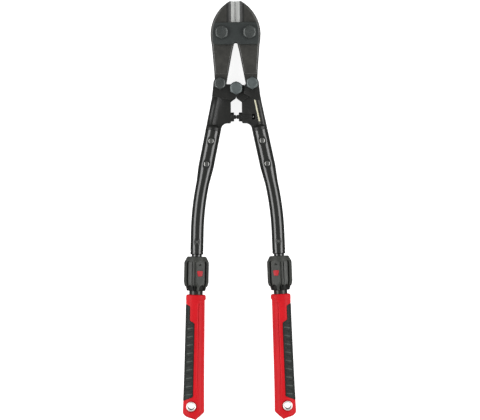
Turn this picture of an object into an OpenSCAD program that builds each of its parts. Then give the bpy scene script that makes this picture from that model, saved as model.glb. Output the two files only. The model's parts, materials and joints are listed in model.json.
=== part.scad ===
// Compound-action bolt cutters with telescoping handles.
// The tool lies flat: X runs across it, Y runs along it with the jaws at +Y, Z is its thickness.
// The origin is at the middle of its length and width, on the surface that it lies on.
// Each side's pieces are drawn on the right (+X) side, and the left side is their mirror image.

/* [Jaws] */
// Jaw tip to jaw bolts, along the tool
tip_to_jaw_bolt = 45.9; // [42:0.1:56]
// Jaw bolts to tail bolts, along the tool
jaw_to_tail_bolt = 74.3; // [66:0.1:90]
// Half the distance between the jaw bolts
jaw_bolt_x = 20.4; // [19.5:0.1:24]
// Half the distance between the tail bolts
tail_bolt_x = 23.5; // [22:0.1:28]
// Half the width of both jaws together
jaw_half_w = 36.5; // [35:0.1:44]
// Radius of each jaw's rounded outer edge
jaw_arc_r = 57; // [52:1:68]
// Thickness of each jaw
jaw_t = 16; // [12:0.5:20]
// Width of each jaw's ground bevel
bevel_w = 6.2; // [4:0.1:9]
// Width of the bevel and the ramp behind it
ramp_w = 12.9; // [10:0.1:15]
// Thickness of each jaw at its cutting edge
edge_t = 0.8; // [0.4:0.1:2]
// Thickness of each jaw between its bevel and its ramp
bevel_t = 10; // [8:0.5:11]
// Radius of the eye at each jaw's tail
tail_eye_r = 9.2; // [8:0.1:10]

/* [Link plates] */
// Thickness of each link plate
plate_t = 5; // [3:0.5:7]
// Half the width of the link plates
plate_half_w = 33.9; // [32:0.1:36]
// Jaw bolts to the top edge of the plates
plate_up = 14.4; // [12:0.1:18]
// Jaw bolts to the bottom edge of the plates
plate_down = 17.9; // [14:0.1:20]
// Radius of the notch in the bottom edge
plate_notch_r = 3.4; // [2:0.1:5]
// Radius of the plates' corners
plate_corner_r = 5; // [2:0.5:8]

/* [Bolts] */
// Diameter of the jaw bolts' shoulders
jaw_bolt_d = 14; // [10:0.5:15]
// Width across flats of the jaw bolts
jaw_hex = 18.2; // [17:0.1:20]
// Diameter of the tail bolts' shoulders
tail_bolt_d = 11; // [8:0.5:12]
// Width across flats of the tail bolts
tail_hex = 16.4; // [15:0.1:17]
// Diameter of the centre bolt's shoulder
centre_bolt_d = 10; // [8:0.5:10.5]
// Width across flats of the centre bolt
centre_hex = 17.3; // [16:0.1:18]
// Thread diameter of the bolts, in the nuts
thread_d = 8; // [6:0.5:9]
// Thread diameter of the two stop screws
stop_d = 6; // [5:0.5:8]
// Width across flats of the stop screws' nuts
stop_hex = 11.5; // [10:0.5:13]
// Thickness of the stop screws' nuts
stop_nut_t = 4.6; // [3:0.1:6]

/* [Yokes] */
// Thickness of each yoke ear
ear_t = 5.5; // [4:0.5:7]
// Thickness of the jaw tails and the tongue between the ears
tongue_t = 14; // [12:0.5:15]
// Radius of the ear around each tail bolt
ear_r = 9.6; // [9:0.1:10.5]
// Radius of the ear and the tongue around the centre bolt
centre_eye_r = 9.5; // [9:0.1:10.2]
// Tail bolts to centre bolt, along the tool
centre_drop = 7.2; // [5:0.1:9]
// Centre bolt to stop screws, along the tool
stop_drop = 41.5; // [38:0.1:48]
// Centre bolt to the top of the handle tubes
tube_drop = 60.6; // [56:0.1:70]
// Half the width of the window between the yokes
window_half_w = 8; // [7:0.1:10]
// Thickness of the yokes' webs
web_t = 9; // [7:0.5:12]
// Diameter of the rounded rib along each yoke's outer side
rib_d = 13; // [12:0.5:16]
// Length of the round shoulder that the tube butts against
shoulder_len = 8; // [5:0.5:12]

/* [Handle tubes] */
// Half the distance between the tubes' upper ends
tube_x = 34.07; // [33:0.1:38]
// Lean of the upper stretch, in degrees
upper_lean = 11.75; // [9:0.25:13]
// Lean of the lower stretch, in degrees
lower_lean = 1.78; // [0:0.1:4]
// Radius of the bend between the two stretches
bend_r = 400; // [250:10:450]
// Upper end of the tube to the middle of the bend
upper_len = 117; // [112:1:150]
// Middle of the bend to the lower end of the tube
lower_len = 66.7; // [65:0.1:110]
// Outside diameter of the tube
tube_d = 18.9; // [18.5:0.1:20]
// Wall of the tube
tube_wall = 1.9; // [1.5:0.1:2.2]
// Outside diameter of the tube's widened upper end
socket_d = 22.3; // [21:0.1:24]
// Length of the widened upper end
socket_len = 55; // [54:0.5:58]
// Length of the taper below it
taper_len = 24; // [14:0.5:26]
// Length of the tang inside the tube
tang_len = 48; // [44:1:50]
// Upper end of the tube to the first rivet
first_rivet = 16.2; // [10:0.1:18]
// Distance between the two rivets
rivet_pitch = 34.3; // [25:0.1:34.5]
// Diameter of the rivets
rivet_d = 5.5; // [4:0.5:7]
// Diameter of the rivet heads
rivet_head_d = 7.8; // [7:0.1:9]
// Depth of the flats under the rivet heads
rivet_flat = 0.9; // [0.7:0.1:1.2]
// Height of the rivet heads
rivet_head_h = 1.2; // [0.8:0.1:2]

/* [Telescoping rods] */
// Diameter of the rod
rod_d = 14.8; // [13:0.1:14.8]
// Length of the rod inside the handle tube
rod_hold = 38; // [30:1:40]
// Travel of each grip along its rod
travel = 150; // [110:1:150]
// Diameter of the pin through the tube and the rod
rod_pin_d = 4; // [3:0.5:5]
// Lower end of the tube to that pin
rod_pin_up = 18.4; // [12:0.1:24]
// Outside diameter of the grip tube
sleeve_d = 19.7; // [19.4:0.1:21]
// Wall of the grip tube
sleeve_wall = 1.65; // [1.2:0.05:1.8]
// Length of the neck bush
neck_bush_len = 20; // [14:1:22]
// Length of the guide bush at the end of the rod
guide_bush_len = 14; // [10:1:14]

/* [Locking collars] */
// Gap between the handle tube and the collar
collar_gap = 3.1; // [2:0.1:8]
// Length of the collar
collar_len = 49.9; // [44:0.1:60]
// Outside diameter of the collar
collar_d = 36.2; // [34:0.1:42]
// Diameter of the collar's top face
collar_top_d = 27.5; // [25:0.5:32]
// Diameter of the collar's bottom face
collar_low_d = 30; // [27:0.5:33]
// Length of the collar's top chamfer
collar_chamfer = 8; // [5:0.5:11]
// Length of the collar's bottom taper
collar_taper = 12; // [8:0.5:14]
// Number of thumb grooves around the collar
collar_grooves = 8; // [6:1:10]
// Depth of the thumb grooves
groove_depth = 1.4; // [0.6:0.1:2]
// Radius of the thumb grooves
groove_r = 9; // [6:0.5:12]
// Turn of the collar's front panel from the front, in degrees
panel_turn = 19; // [0:1:30]
// Wall over the collar's lip at the top
collar_lip = 3; // [2:0.1:4]
// Outside diameter of the retaining ring
ring_d = 22.4; // [21.8:0.1:23.4]
// Thickness of the retaining ring
ring_t = 2; // [1.5:0.1:3]

/* [Grips] */
// Gap between the collar and the grip
neck_len = 5.6; // [3:0.1:10]
// Length of the grip
grip_len = 182.4; // [170:0.1:230]
// Width of the grip at its rim
grip_rim_d = 29.1; // [28:0.1:32]
// Width of the grip at its upper end
grip_top_d = 27.8; // [27:0.1:30]
// Width of the grip at its lower end
grip_low_d = 31.6; // [30:0.1:34]
// Thickness of the grip
grip_t = 28; // [26:0.1:29]
// Thickness of the rubber inlay
inlay_t = 2; // [1.5:0.1:2.6]
// Width of the rubber inlay, seen from the front
inlay_w = 12.5; // [8:0.1:13]
// Width of the narrow upper end of the inlay
inlay_top_w = 5.5; // [4:0.1:7]
// Outside diameter of the hanging eyelet
eyelet_d = 14; // [12:0.5:15]
// Bore of the hanging eyelet
eyelet_bore_d = 10; // [8:0.5:11]
// Diameter of the flange recess around the eyelet
recess_d = 17; // [15:0.5:18]
// Eyelet to the lower end of the grip
eyelet_up = 19.6; // [17:0.1:22]
// Offset of the eyelet to the outer side
eyelet_shift = 3.5; // [0:0.1:4]

/* [Fits] */
// Radial clearance of the running fits
run = 0.05; // [0.02:0.01:0.08]
// Side clearance between the stacked plates
side_gap = 0.1; // [0.05:0.05:0.2]
// Radial clearance around the tongue's swing on the centre bolt
loop_play = 1.8; // [1.8:0.1:2]
// Gap left between the closed cutting edges
blade_gap = 0.1; // [0.05:0.05:0.3]

/* [Hidden] */
$fn = 64;

// Reach of a cut past the surface that it opens
cut = 1;
left = -1;
right = 1;

// Bend of the handle, and how far each straight stretch runs to the middle of the bend
bend = upper_lean - lower_lean;
bend_reach = bend_r * tan(bend / 2);
bend_start = upper_len - bend_reach;

// Lengths down the lower stretch, counted from the lower end of the handle tube
collar_at = collar_gap;
collar_end = collar_at + collar_len;
grip_at = collar_end + neck_len;
grip_end = grip_at + grip_len;

// Places along the tool, with its middle at Y = 0
handle_len = upper_len * cos(upper_lean) + (lower_len + grip_end) * cos(lower_lean);
total_len = tip_to_jaw_bolt + jaw_to_tail_bolt + centre_drop + tube_drop + handle_len;
tip_y = total_len / 2;
jaw_bolt_y = tip_y - tip_to_jaw_bolt;
tail_bolt_y = jaw_bolt_y - jaw_to_tail_bolt;
centre_y = tail_bolt_y - centre_drop;
stop_y = centre_y - stop_drop;
tube_y = centre_y - tube_drop;

// Jaw bolts down to the centres of the jaws' outer arcs
jaw_arc_drop = 3.2;

// Heights: the collars and the bolt heads both rest on the surface
mid_z = collar_d / 2;
ear_in = tongue_t / 2 + side_gap;
ear_out = ear_in + ear_t;
plate_in = jaw_t / 2 + side_gap;
plate_out = plate_in + plate_t;
tail_head_t = mid_z - ear_out;
jaw_head_t = mid_z - plate_out;

// Clear radii that let the closed loop swing
tail_clear = tail_eye_r + loop_play;
centre_clear = centre_eye_r + loop_play + 4 * run;
tongue_hole_r = centre_bolt_d / 2 + loop_play;

// Middle of the bend and lower end of the tube, on the right side
bend_x = tube_x + upper_len * sin(upper_lean);
bend_y = tube_y - upper_len * cos(upper_lean);
tube_end_x = bend_x + lower_len * sin(lower_lean);
tube_end_y = bend_y - lower_len * cos(lower_lean);

// Telescoping set, in lengths down the lower stretch
tube_id = tube_d - 2 * tube_wall;
tang_d = socket_d - 2 * tube_wall - 2 * run;
sleeve_id = sleeve_d - 2 * sleeve_wall;
collet_at = collar_at + collar_lip + 0.4;
collet_len = 7.5;
sleeve_at = collet_at + collet_len;
neck_bush_at = sleeve_at + 4;
guide_bush_at = neck_bush_at + neck_bush_len + travel + 1;
rod_end = guide_bush_at + guide_bush_len;
end_washer_t = 1.5;
eyelet_at = grip_end - eyelet_up;
sleeve_end = eyelet_at - recess_d / 2 - 2.5;
plug_t = 5;
ring_at = sleeve_at + 6;
ring_seat_d = sleeve_d - 1.6;
cavity_r = ring_d / 2 + 0.2;
cavity_end = ring_at + ring_t + 2;

// Mirror image for the left side
module on_side(side) {
    if (side == right) children();
    else mirror([1, 0, 0]) children();
}

// Children run down the handle's upper stretch: local Z down it, X outward, Y to the front
module down_upper(reach, shift = 0) {
    translate([tube_x, tube_y, mid_z]) rotate([0, 0, upper_lean]) rotate([90, 0, 0])
        translate([shift, 0, reach]) children();
}

// Children run down the handle's lower stretch, from the lower end of the tube
module down_lower(reach) {
    translate([tube_end_x, tube_end_y, mid_z]) rotate([0, 0, lower_lean]) rotate([90, 0, 0])
        translate([0, 0, reach]) children();
}

// A flat slab of the plan, between two heights about the mid-plane
module slab(low, high) {
    translate([0, 0, mid_z + low]) linear_extrude(height = high - low) children();
}

// A hole along Z through everything
module z_hole(x, y, r) {
    translate([x, y, -cut]) cylinder(r = r, h = 2 * (mid_z + cut));
}

// Hexagon with a flat on each side
module hexagon(across) {
    rotate(30) circle(d = across / cos(30), $fn = 6);
}

// Hexagonal body whose outer face has rounded corners
module hex_block(across, height) {
    intersection() {
        linear_extrude(height = height) hexagon(across);
        rotate_extrude() polygon([
            [0, 0], [across, 0], [across, height / 2], [across / 2 * 0.93, height], [0, height]
        ]);
    }
}

// Shouldered bolt: head at the front, shoulder through the stack, thread into the nut
module shoulder_bolt(x, y, across, shoulder_d, stack, head_t) {
    translate([x, y, mid_z]) {
        translate([0, 0, stack]) hex_block(across, head_t);
        translate([0, 0, -stack]) cylinder(d = shoulder_d, h = 2 * stack);
        translate([0, 0, -stack - head_t]) cylinder(d = thread_d, h = head_t + 1);
    }
}

module flush_nut(x, y, across, stack, head_t) {
    translate([x, y, mid_z - stack]) mirror([0, 0, 1]) difference() {
        hex_block(across, head_t);
        translate([0, 0, -cut]) cylinder(d = thread_d + 2 * run, h = head_t + 2 * cut);
    }
}

// ---- Jaws and link plates ----

module plate_plan() {
    top = jaw_bolt_y + plate_up;
    low = jaw_bolt_y - plate_down;
    difference() {
        union() {
            intersection() {
                translate([-plate_half_w, low + plate_corner_r])
                    square([2 * plate_half_w, top - low - plate_corner_r]);
                jaw_round(left, jaw_half_w - plate_half_w);
                jaw_round(right, jaw_half_w - plate_half_w);
            }
            translate([-plate_half_w, low + plate_corner_r])
                square([2 * plate_half_w, jaw_bolt_y - jaw_arc_drop - low - plate_corner_r]);
            translate([-plate_half_w + plate_corner_r, low])
                square([2 * (plate_half_w - plate_corner_r), 2 * plate_corner_r]);
            for (side = [left, right])
                translate([side * (plate_half_w - plate_corner_r), low + plate_corner_r])
                    circle(plate_corner_r);
        }
        translate([0, low]) circle(plate_notch_r);
        for (side = [left, right])
            translate([side * jaw_bolt_x, jaw_bolt_y]) circle(d = jaw_bolt_d + 2 * run);
    }
}

module front_link_plate() {
    color([0.20, 0.22, 0.22]) slab(plate_in, plate_out) plate_plan();
}

module rear_link_plate() {
    color([0.20, 0.22, 0.22]) slab(-plate_out, -plate_in) plate_plan();
}

// Disc whose edge is a jaw's rounded outer edge, drawn in by inset
module jaw_round(side, inset = 0) {
    translate([side * (jaw_half_w - jaw_arc_r), jaw_bolt_y - jaw_arc_drop])
        circle(jaw_arc_r - inset, $fn = 180);
}

// Seen from the front: the rounded blade above the jaw bolt, and the arm down to the tail bolt
module jaw_plan() {
    edge = blade_gap / 2;
    waist = jaw_bolt_y - plate_down;
    crotch = waist - 8.6;
    difference() {
        union() {
            intersection() {
                jaw_round(right);
                translate([edge, jaw_bolt_y]) square([jaw_half_w, tip_to_jaw_bolt]);
            }
            polygon([
                [edge, jaw_bolt_y], [2.8, waist], [5, crotch], [tail_bolt_x - 10.2, tail_bolt_y + 4],
                [tail_bolt_x, tail_bolt_y], [tail_bolt_x + 7.7, tail_bolt_y + 5],
                [tail_bolt_x + 8.3, tail_bolt_y + 18.7], [jaw_half_w - 1.6, waist],
                [jaw_half_w - 0.5, jaw_bolt_y - 11], [jaw_half_w, jaw_bolt_y - jaw_arc_drop],
                [jaw_half_w - 0.1, jaw_bolt_y]
            ]);
            translate([tail_bolt_x, tail_bolt_y]) circle(tail_eye_r);
        }
        translate([jaw_bolt_x, jaw_bolt_y]) circle(d = jaw_bolt_d + 2 * run);
        translate([tail_bolt_x, tail_bolt_y]) circle(d = tail_bolt_d + 2 * run);
    }
}

// Gap between the top of the plates and the end of the ground bevels
bevel_gap = 0.6;

// Wedge ground off one face of the jaw beside its cutting edge
module bevel_cut() {
    low = jaw_bolt_y + plate_up + bevel_gap;
    translate([0, tip_y + cut, mid_z]) rotate([90, 0, 0])
        linear_extrude(height = tip_y + cut - low) polygon([
            [-cut, edge_t / 2], [0, edge_t / 2], [bevel_w, bevel_t / 2],
            [ramp_w, jaw_t / 2], [ramp_w, jaw_t], [-cut, jaw_t]
        ]);
}

// The tail is thinner than the jaw, to swing between the ears of its yoke
thin_tail_up = 14;

module tail_cut() {
    translate([0, tail_bolt_y - 2 * tail_eye_r, mid_z + tongue_t / 2])
        cube([2 * jaw_half_w, 2 * tail_eye_r + thin_tail_up, jaw_t]);
}

module jaw() {
    difference() {
        slab(-jaw_t / 2, jaw_t / 2) jaw_plan();
        for (face = [0, 1]) translate([0, 0, 2 * face * mid_z]) mirror([0, 0, face]) {
            bevel_cut();
            tail_cut();
        }
    }
}

module left_jaw() {
    color([0.25, 0.25, 0.23]) on_side(left) jaw();
}

module right_jaw() {
    color([0.25, 0.25, 0.23]) on_side(right) jaw();
}

module jaw_bolt() {
    shoulder_bolt(jaw_bolt_x, jaw_bolt_y, jaw_hex, jaw_bolt_d, plate_out, jaw_head_t);
}

module left_jaw_bolt() {
    color([0.35, 0.38, 0.38]) on_side(left) jaw_bolt();
}

module right_jaw_bolt() {
    color([0.35, 0.38, 0.38]) on_side(right) jaw_bolt();
}

module left_jaw_nut() {
    color([0.35, 0.38, 0.38]) flush_nut(-jaw_bolt_x, jaw_bolt_y, jaw_hex, plate_out, jaw_head_t);
}

module right_jaw_nut() {
    color([0.35, 0.38, 0.38]) flush_nut(jaw_bolt_x, jaw_bolt_y, jaw_hex, plate_out, jaw_head_t);
}

// ---- Yokes ----

// Outer side of the yoke at height y, which is the outer side of its rounded rib
function shank_x(y) = tube_x + (tube_y - y) * tan(upper_lean) + socket_d / 2 / cos(upper_lean);

// Levels of the yokes' corners along the tool, and the sides of the web
ear_low_y = tail_bolt_y - 18.7;
roof_y = centre_y - 14.1;
shoulder_y = centre_y - 19.8;
web_low_y = stop_y - 9.3;
web_fillet = 9;
inner_side_x = tube_x - socket_d / 2 - 0.4;
rib_shift = (socket_d - rib_d) / 2;

// Ear that spans the tail bolt and the centre bolt
module long_ear_plan() {
    apex = centre_y - roof_y - 2;
    lean = acos(centre_eye_r / apex);
    translate([tail_bolt_x, tail_bolt_y]) circle(ear_r);
    translate([0, centre_y]) circle(centre_eye_r);
    polygon([
        [tail_bolt_x + ear_r, tail_bolt_y], [shank_x(ear_low_y), ear_low_y],
        [window_half_w + 0.3, ear_low_y - 5.3], [0, centre_y - apex],
        [-centre_eye_r * sin(lean), centre_y - centre_eye_r * cos(lean)],
        [0, centre_y + 5.7], [tail_bolt_x, tail_bolt_y - 1.2]
    ]);
}

// Ear around the tail bolt only, with a slanting lower edge
module short_ear_plan() {
    translate([tail_bolt_x, tail_bolt_y]) circle(ear_r);
    polygon([
        [tail_bolt_x + ear_r, tail_bolt_y], [shank_x(ear_low_y), ear_low_y],
        [shank_x(ear_low_y - 5), ear_low_y - 5], [tail_bolt_x + 5, ear_low_y - 6.5],
        [11.4, centre_y - 7.3], [12.4, tail_bolt_y - 2], [tail_bolt_x, tail_bolt_y]
    ]);
}

// Flat web between the ears, the window and the shank, with a fillet where it meets the shank
module web_plan() {
    fillet = [for (turn = [0 : 10 : 90]) [
        inner_side_x - web_fillet * (1 - sin(turn)), web_low_y - web_fillet * (1 - cos(turn))
    ]];
    polygon(concat(
        [[blade_gap + 0.2, roof_y + 3], [blade_gap + 0.2, roof_y], [window_half_w, shoulder_y],
            [window_half_w, web_low_y + 1.5], [window_half_w + 1.5, web_low_y]],
        fillet,
        [[tube_x - 6, tube_y + 1], [tube_x + rib_shift, tube_y + 1],
            [tube_x + rib_shift + (tube_y - ear_low_y) * tan(upper_lean), ear_low_y],
            [tail_bolt_x, tail_bolt_y - 10]]
    ));
}

// Tongue that carries the centre eye between the long ears
module tongue_plan() {
    translate([0, centre_y]) circle(centre_eye_r);
    polygon([
        [0, centre_y + 6.5], [12, centre_y + 4.5], [tail_bolt_x, tail_bolt_y - 15],
        [window_half_w, shoulder_y], [blade_gap + 0.2, roof_y], [blade_gap + 0.2, centre_y - 9]
    ]);
}

// Rounded rib on the outer side, the shoulder that meets the tube, and the tang inside it
module shank() {
    rib_len = (ear_low_y - tube_y) / cos(upper_lean);
    down_upper(-rib_len - 4, rib_shift) cylinder(d = rib_d, h = rib_len + 3);
    down_upper(-shoulder_len) rotate_extrude() polygon([
        [0, 0], [socket_d / 2 - 4, 0], [socket_d / 2, 4], [socket_d / 2, shoulder_len],
        [tang_d / 2, shoulder_len], [tang_d / 2, shoulder_len + tang_len - 1],
        [tang_d / 2 - 1, shoulder_len + tang_len], [0, shoulder_len + tang_len]
    ]);
}

// Room for the jaw's tail as it swings between the ears
module tail_slot() {
    slab(-ear_in, ear_in) {
        translate([tail_bolt_x, tail_bolt_y]) circle(tail_clear);
        translate([tail_bolt_x - tail_clear, tail_bolt_y]) square([3 * tail_clear, 3 * tail_clear]);
    }
}

module rivet_holes() {
    for (i = [0, 1]) down_upper(first_rivet + i * rivet_pitch) rotate([90, 0, 0])
        cylinder(d = rivet_d + 2 * run, h = 2 * socket_d, center = true);
}

module stop_hole(depth) {
    translate([-cut, stop_y, mid_z]) rotate([0, 90, 0]) cylinder(d = stop_d + 2 * run, h = depth + cut);
}

// Outer end of the right stop screw's boss, how far the screw shows past it in an open pocket, the
// width of that pocket, and the end of the left screw's hole
stop_boss_end = 22.5;
stop_tail = 3.4;
stop_pocket_w = 8.4;
short_stop_end = 20;

module left_yoke() {
    color([0.15, 0.15, 0.13]) on_side(left) difference() {
        union() {
            slab(-ear_out, ear_out) long_ear_plan();
            slab(-web_t / 2, web_t / 2) web_plan();
            shank();
        }
        tail_slot();
        slab(-ear_in, ear_in) {
            translate([0, centre_y]) circle(centre_clear);
            translate([-2 * centre_clear, centre_y])
                square([2 * centre_clear + tail_bolt_x, 4 * centre_clear]);
            translate([-2 * centre_clear, centre_y - 2 * centre_clear])
                square([2 * centre_clear + blade_gap + 0.2, 3 * centre_clear]);
        }
        z_hole(0, centre_y, centre_bolt_d / 2 + run);
        z_hole(tail_bolt_x, tail_bolt_y, tail_bolt_d / 2 + run);
        stop_hole(short_stop_end);
        rivet_holes();
    }
}

module right_yoke() {
    color([0.15, 0.15, 0.13]) on_side(right) difference() {
        union() {
            difference() {
                slab(-ear_out, ear_out) short_ear_plan();
                z_hole(0, centre_y, centre_clear);
            }
            slab(-tongue_t / 2, tongue_t / 2) tongue_plan();
            slab(-web_t / 2, web_t / 2) web_plan();
            shank();
            translate([window_half_w, stop_y, mid_z]) rotate([0, 90, 0])
                cylinder(d = stop_hex, h = stop_boss_end - window_half_w);
        }
        tail_slot();
        z_hole(0, centre_y, tongue_hole_r);
        z_hole(tail_bolt_x, tail_bolt_y, tail_bolt_d / 2 + run);
        stop_hole(stop_boss_end + stop_tail + 1);
        translate([stop_boss_end, stop_y - stop_pocket_w / 2, mid_z - stop_d / 2 - 0.3])
            cube([stop_tail + 1.4, stop_pocket_w, mid_z]);
        rivet_holes();
    }
}

module left_tail_bolt() {
    color([0.38, 0.40, 0.40])
        shoulder_bolt(-tail_bolt_x, tail_bolt_y, tail_hex, tail_bolt_d, ear_out, tail_head_t);
}

module right_tail_bolt() {
    color([0.38, 0.40, 0.40])
        shoulder_bolt(tail_bolt_x, tail_bolt_y, tail_hex, tail_bolt_d, ear_out, tail_head_t);
}

module left_tail_nut() {
    color([0.38, 0.40, 0.40]) flush_nut(-tail_bolt_x, tail_bolt_y, tail_hex, ear_out, tail_head_t);
}

module right_tail_nut() {
    color([0.38, 0.40, 0.40]) flush_nut(tail_bolt_x, tail_bolt_y, tail_hex, ear_out, tail_head_t);
}

module centre_bolt() {
    color([0.40, 0.43, 0.43])
        shoulder_bolt(0, centre_y, centre_hex, centre_bolt_d, ear_out, tail_head_t);
}

module centre_nut() {
    color([0.40, 0.43, 0.43]) flush_nut(0, centre_y, centre_hex, ear_out, tail_head_t);
}

// Stop screw from the middle of the tool outward, with a domed inner tip
module stop_screw(reach) {
    translate([blade_gap / 2, stop_y, mid_z]) rotate([0, 90, 0]) rotate_extrude()
        polygon([[0, 0], [stop_d / 2 - 1, 0], [stop_d / 2, 1], [stop_d / 2, reach - 1],
            [stop_d / 2 - 1, reach], [0, reach]]);
}

module stop_nut() {
    translate([window_half_w, stop_y, mid_z]) rotate([0, -90, 0]) difference() {
        hex_block(stop_hex, stop_nut_t);
        translate([0, 0, -cut]) cylinder(d = stop_d + 2 * run, h = stop_nut_t + 2 * cut);
    }
}

module left_stop_screw() {
    color([0.16, 0.16, 0.15]) on_side(left) stop_screw(short_stop_end - 1);
}

module right_stop_screw() {
    color([0.60, 0.61, 0.61]) on_side(right) stop_screw(stop_boss_end + stop_tail);
}

module left_stop_nut() {
    color([0.16, 0.16, 0.15]) on_side(left) stop_nut();
}

module right_stop_nut() {
    color([0.16, 0.16, 0.15]) on_side(right) stop_nut();
}

// ---- Handle tubes ----

// Radial step where two stretches of the tube lap, and the length of the lap
sizing = 0.05;
lap = 0.5;

// Widened end, taper and straight run down to the bend
module tube_upper() {
    low = bend_start + lap;
    outer = tube_d / 2 - sizing;
    inner = tube_id / 2 + sizing;
    down_upper(0) rotate_extrude() polygon([
        [socket_d / 2 - tube_wall, 0], [socket_d / 2, 0], [socket_d / 2, socket_len],
        [outer, socket_len + taper_len], [outer, low], [inner, low],
        [inner, socket_len + taper_len], [socket_d / 2 - tube_wall, socket_len]
    ]);
}

module tube_bend() {
    down_upper(bend_start) translate([-bend_r, 0, 0]) rotate([90, 0, 0])
        rotate_extrude(angle = bend, $fn = 120) translate([bend_r, 0]) difference() {
            circle(d = tube_d);
            circle(d = tube_id);
        }
}

module tube_lower() {
    down_lower(bend_reach - lower_len - lap) linear_extrude(height = lower_len - bend_reach + lap)
        difference() {
            circle(d = tube_d - 2 * sizing);
            circle(d = tube_id + 2 * sizing);
        }
}

// Flats on both faces of the widened end, where the rivet heads sit
module rivet_flats() {
    for (i = [0, 1]) down_upper(first_rivet + i * rivet_pitch) rotate([90, 0, 0])
        for (face = [0, 1]) mirror([0, 0, face]) translate([0, 0, socket_d / 2 - rivet_flat])
            cylinder(d = rivet_head_d + 0.6, h = 2 * rivet_flat);
}

module handle_tube() {
    difference() {
        union() {
            tube_upper();
            tube_bend();
            tube_lower();
        }
        rivet_holes();
        rivet_flats();
        down_lower(-rod_pin_up) rotate([90, 0, 0])
            cylinder(d = rod_pin_d + 2 * run, h = 2 * tube_d, center = true);
    }
}

module left_handle_tube() {
    color([0.09, 0.09, 0.09]) on_side(left) handle_tube();
}

module right_handle_tube() {
    color([0.09, 0.09, 0.09]) on_side(right) handle_tube();
}

// Rivet with a domed head on both faces of the widened end
module rivet() {
    face = socket_d / 2 - rivet_flat;
    dome_r = (pow(rivet_head_d / 2, 2) + pow(rivet_head_h, 2)) / (2 * rivet_head_h);
    rotate([90, 0, 0]) {
        cylinder(d = rivet_d, h = 2 * face, center = true);
        for (end = [0, 1]) mirror([0, 0, end]) intersection() {
            translate([0, 0, face + rivet_head_h - dome_r]) sphere(r = dome_r);
            translate([0, 0, face]) cylinder(d = rivet_head_d, h = rivet_head_h);
        }
    }
}

module tube_rivets() {
    for (i = [0, 1]) down_upper(first_rivet + i * rivet_pitch) rivet();
}

module left_tube_rivets() {
    color([0.30, 0.30, 0.29]) on_side(left) tube_rivets();
}

module right_tube_rivets() {
    color([0.30, 0.30, 0.29]) on_side(right) tube_rivets();
}

// ---- Telescoping rods ----

// Diameter of the end screw, and how far it enters the rod
end_screw_d = 6;
end_screw_hold = 12;

module extension_rod() {
    difference() {
        down_lower(-rod_hold) cylinder(d = rod_d, h = rod_hold + rod_end);
        down_lower(-rod_pin_up) rotate([90, 0, 0])
            cylinder(d = rod_pin_d + 2 * run, h = 2 * tube_d, center = true);
        down_lower(rod_end - end_screw_hold) cylinder(d = end_screw_d + 2 * run, h = end_screw_hold + cut);
    }
}

module left_extension_rod() {
    color([0.62, 0.63, 0.64]) on_side(left) extension_rod();
}

module right_extension_rod() {
    color([0.62, 0.63, 0.64]) on_side(right) extension_rod();
}

module rod_pin() {
    down_lower(-rod_pin_up) rotate([90, 0, 0]) cylinder(d = rod_pin_d, h = tube_d - 0.8, center = true);
}

module left_rod_pin() {
    color([0.30, 0.30, 0.29]) on_side(left) rod_pin();
}

module right_rod_pin() {
    color([0.30, 0.30, 0.29]) on_side(right) rod_pin();
}

// Bush pressed on the rod, that slides in the grip tube
module guide_bush() {
    down_lower(guide_bush_at) difference() {
        cylinder(d = sleeve_id - 2 * run, h = guide_bush_len);
        translate([0, 0, -cut]) cylinder(d = rod_d, h = guide_bush_len + 2 * cut);
    }
}

module left_guide_bush() {
    color([0.85, 0.83, 0.75]) on_side(left) guide_bush();
}

module right_guide_bush() {
    color([0.85, 0.83, 0.75]) on_side(right) guide_bush();
}

// Screw and washer that keep the guide bush on the rod
module end_screw() {
    down_lower(rod_end - end_screw_hold + 1) cylinder(d = end_screw_d, h = end_screw_hold);
    down_lower(rod_end) cylinder(d = sleeve_id - 1, h = end_washer_t);
}

module left_end_screw() {
    color([0.55, 0.55, 0.54]) on_side(left) end_screw();
}

module right_end_screw() {
    color([0.55, 0.55, 0.54]) on_side(right) end_screw();
}

// ---- Grip tubes and locking collars ----

module ring_groove() {
    down_lower(ring_at) difference() {
        cylinder(d = sleeve_d + 2, h = ring_t);
        translate([0, 0, -cut]) cylinder(d = ring_seat_d, h = ring_t + 2 * cut);
    }
}

module grip_tube() {
    difference() {
        down_lower(sleeve_at) cylinder(d = sleeve_d, h = sleeve_end - sleeve_at);
        down_lower(sleeve_at - cut) cylinder(d = sleeve_id, h = sleeve_end - sleeve_at + 2 * cut);
        ring_groove();
    }
}

module left_grip_tube() {
    color([0.50, 0.51, 0.51]) on_side(left) grip_tube();
}

module right_grip_tube() {
    color([0.50, 0.51, 0.51]) on_side(right) grip_tube();
}

// Bush pressed in the grip tube, that slides on the rod
module neck_bush() {
    down_lower(neck_bush_at) difference() {
        cylinder(d = sleeve_id, h = neck_bush_len);
        translate([0, 0, -cut]) cylinder(d = rod_d + 2 * run, h = neck_bush_len + 2 * cut);
    }
}

module left_neck_bush() {
    color([0.85, 0.83, 0.75]) on_side(left) neck_bush();
}

module right_neck_bush() {
    color([0.85, 0.83, 0.75]) on_side(right) neck_bush();
}

module tube_plug() {
    down_lower(sleeve_end - plug_t) cylinder(d = sleeve_id, h = plug_t);
}

module left_tube_plug() {
    color([0.15, 0.15, 0.15]) on_side(left) tube_plug();
}

module right_tube_plug() {
    color([0.15, 0.15, 0.15]) on_side(right) tube_plug();
}

// Split collet that the collar closes on the rod
collet_slit = 1.2;

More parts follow.
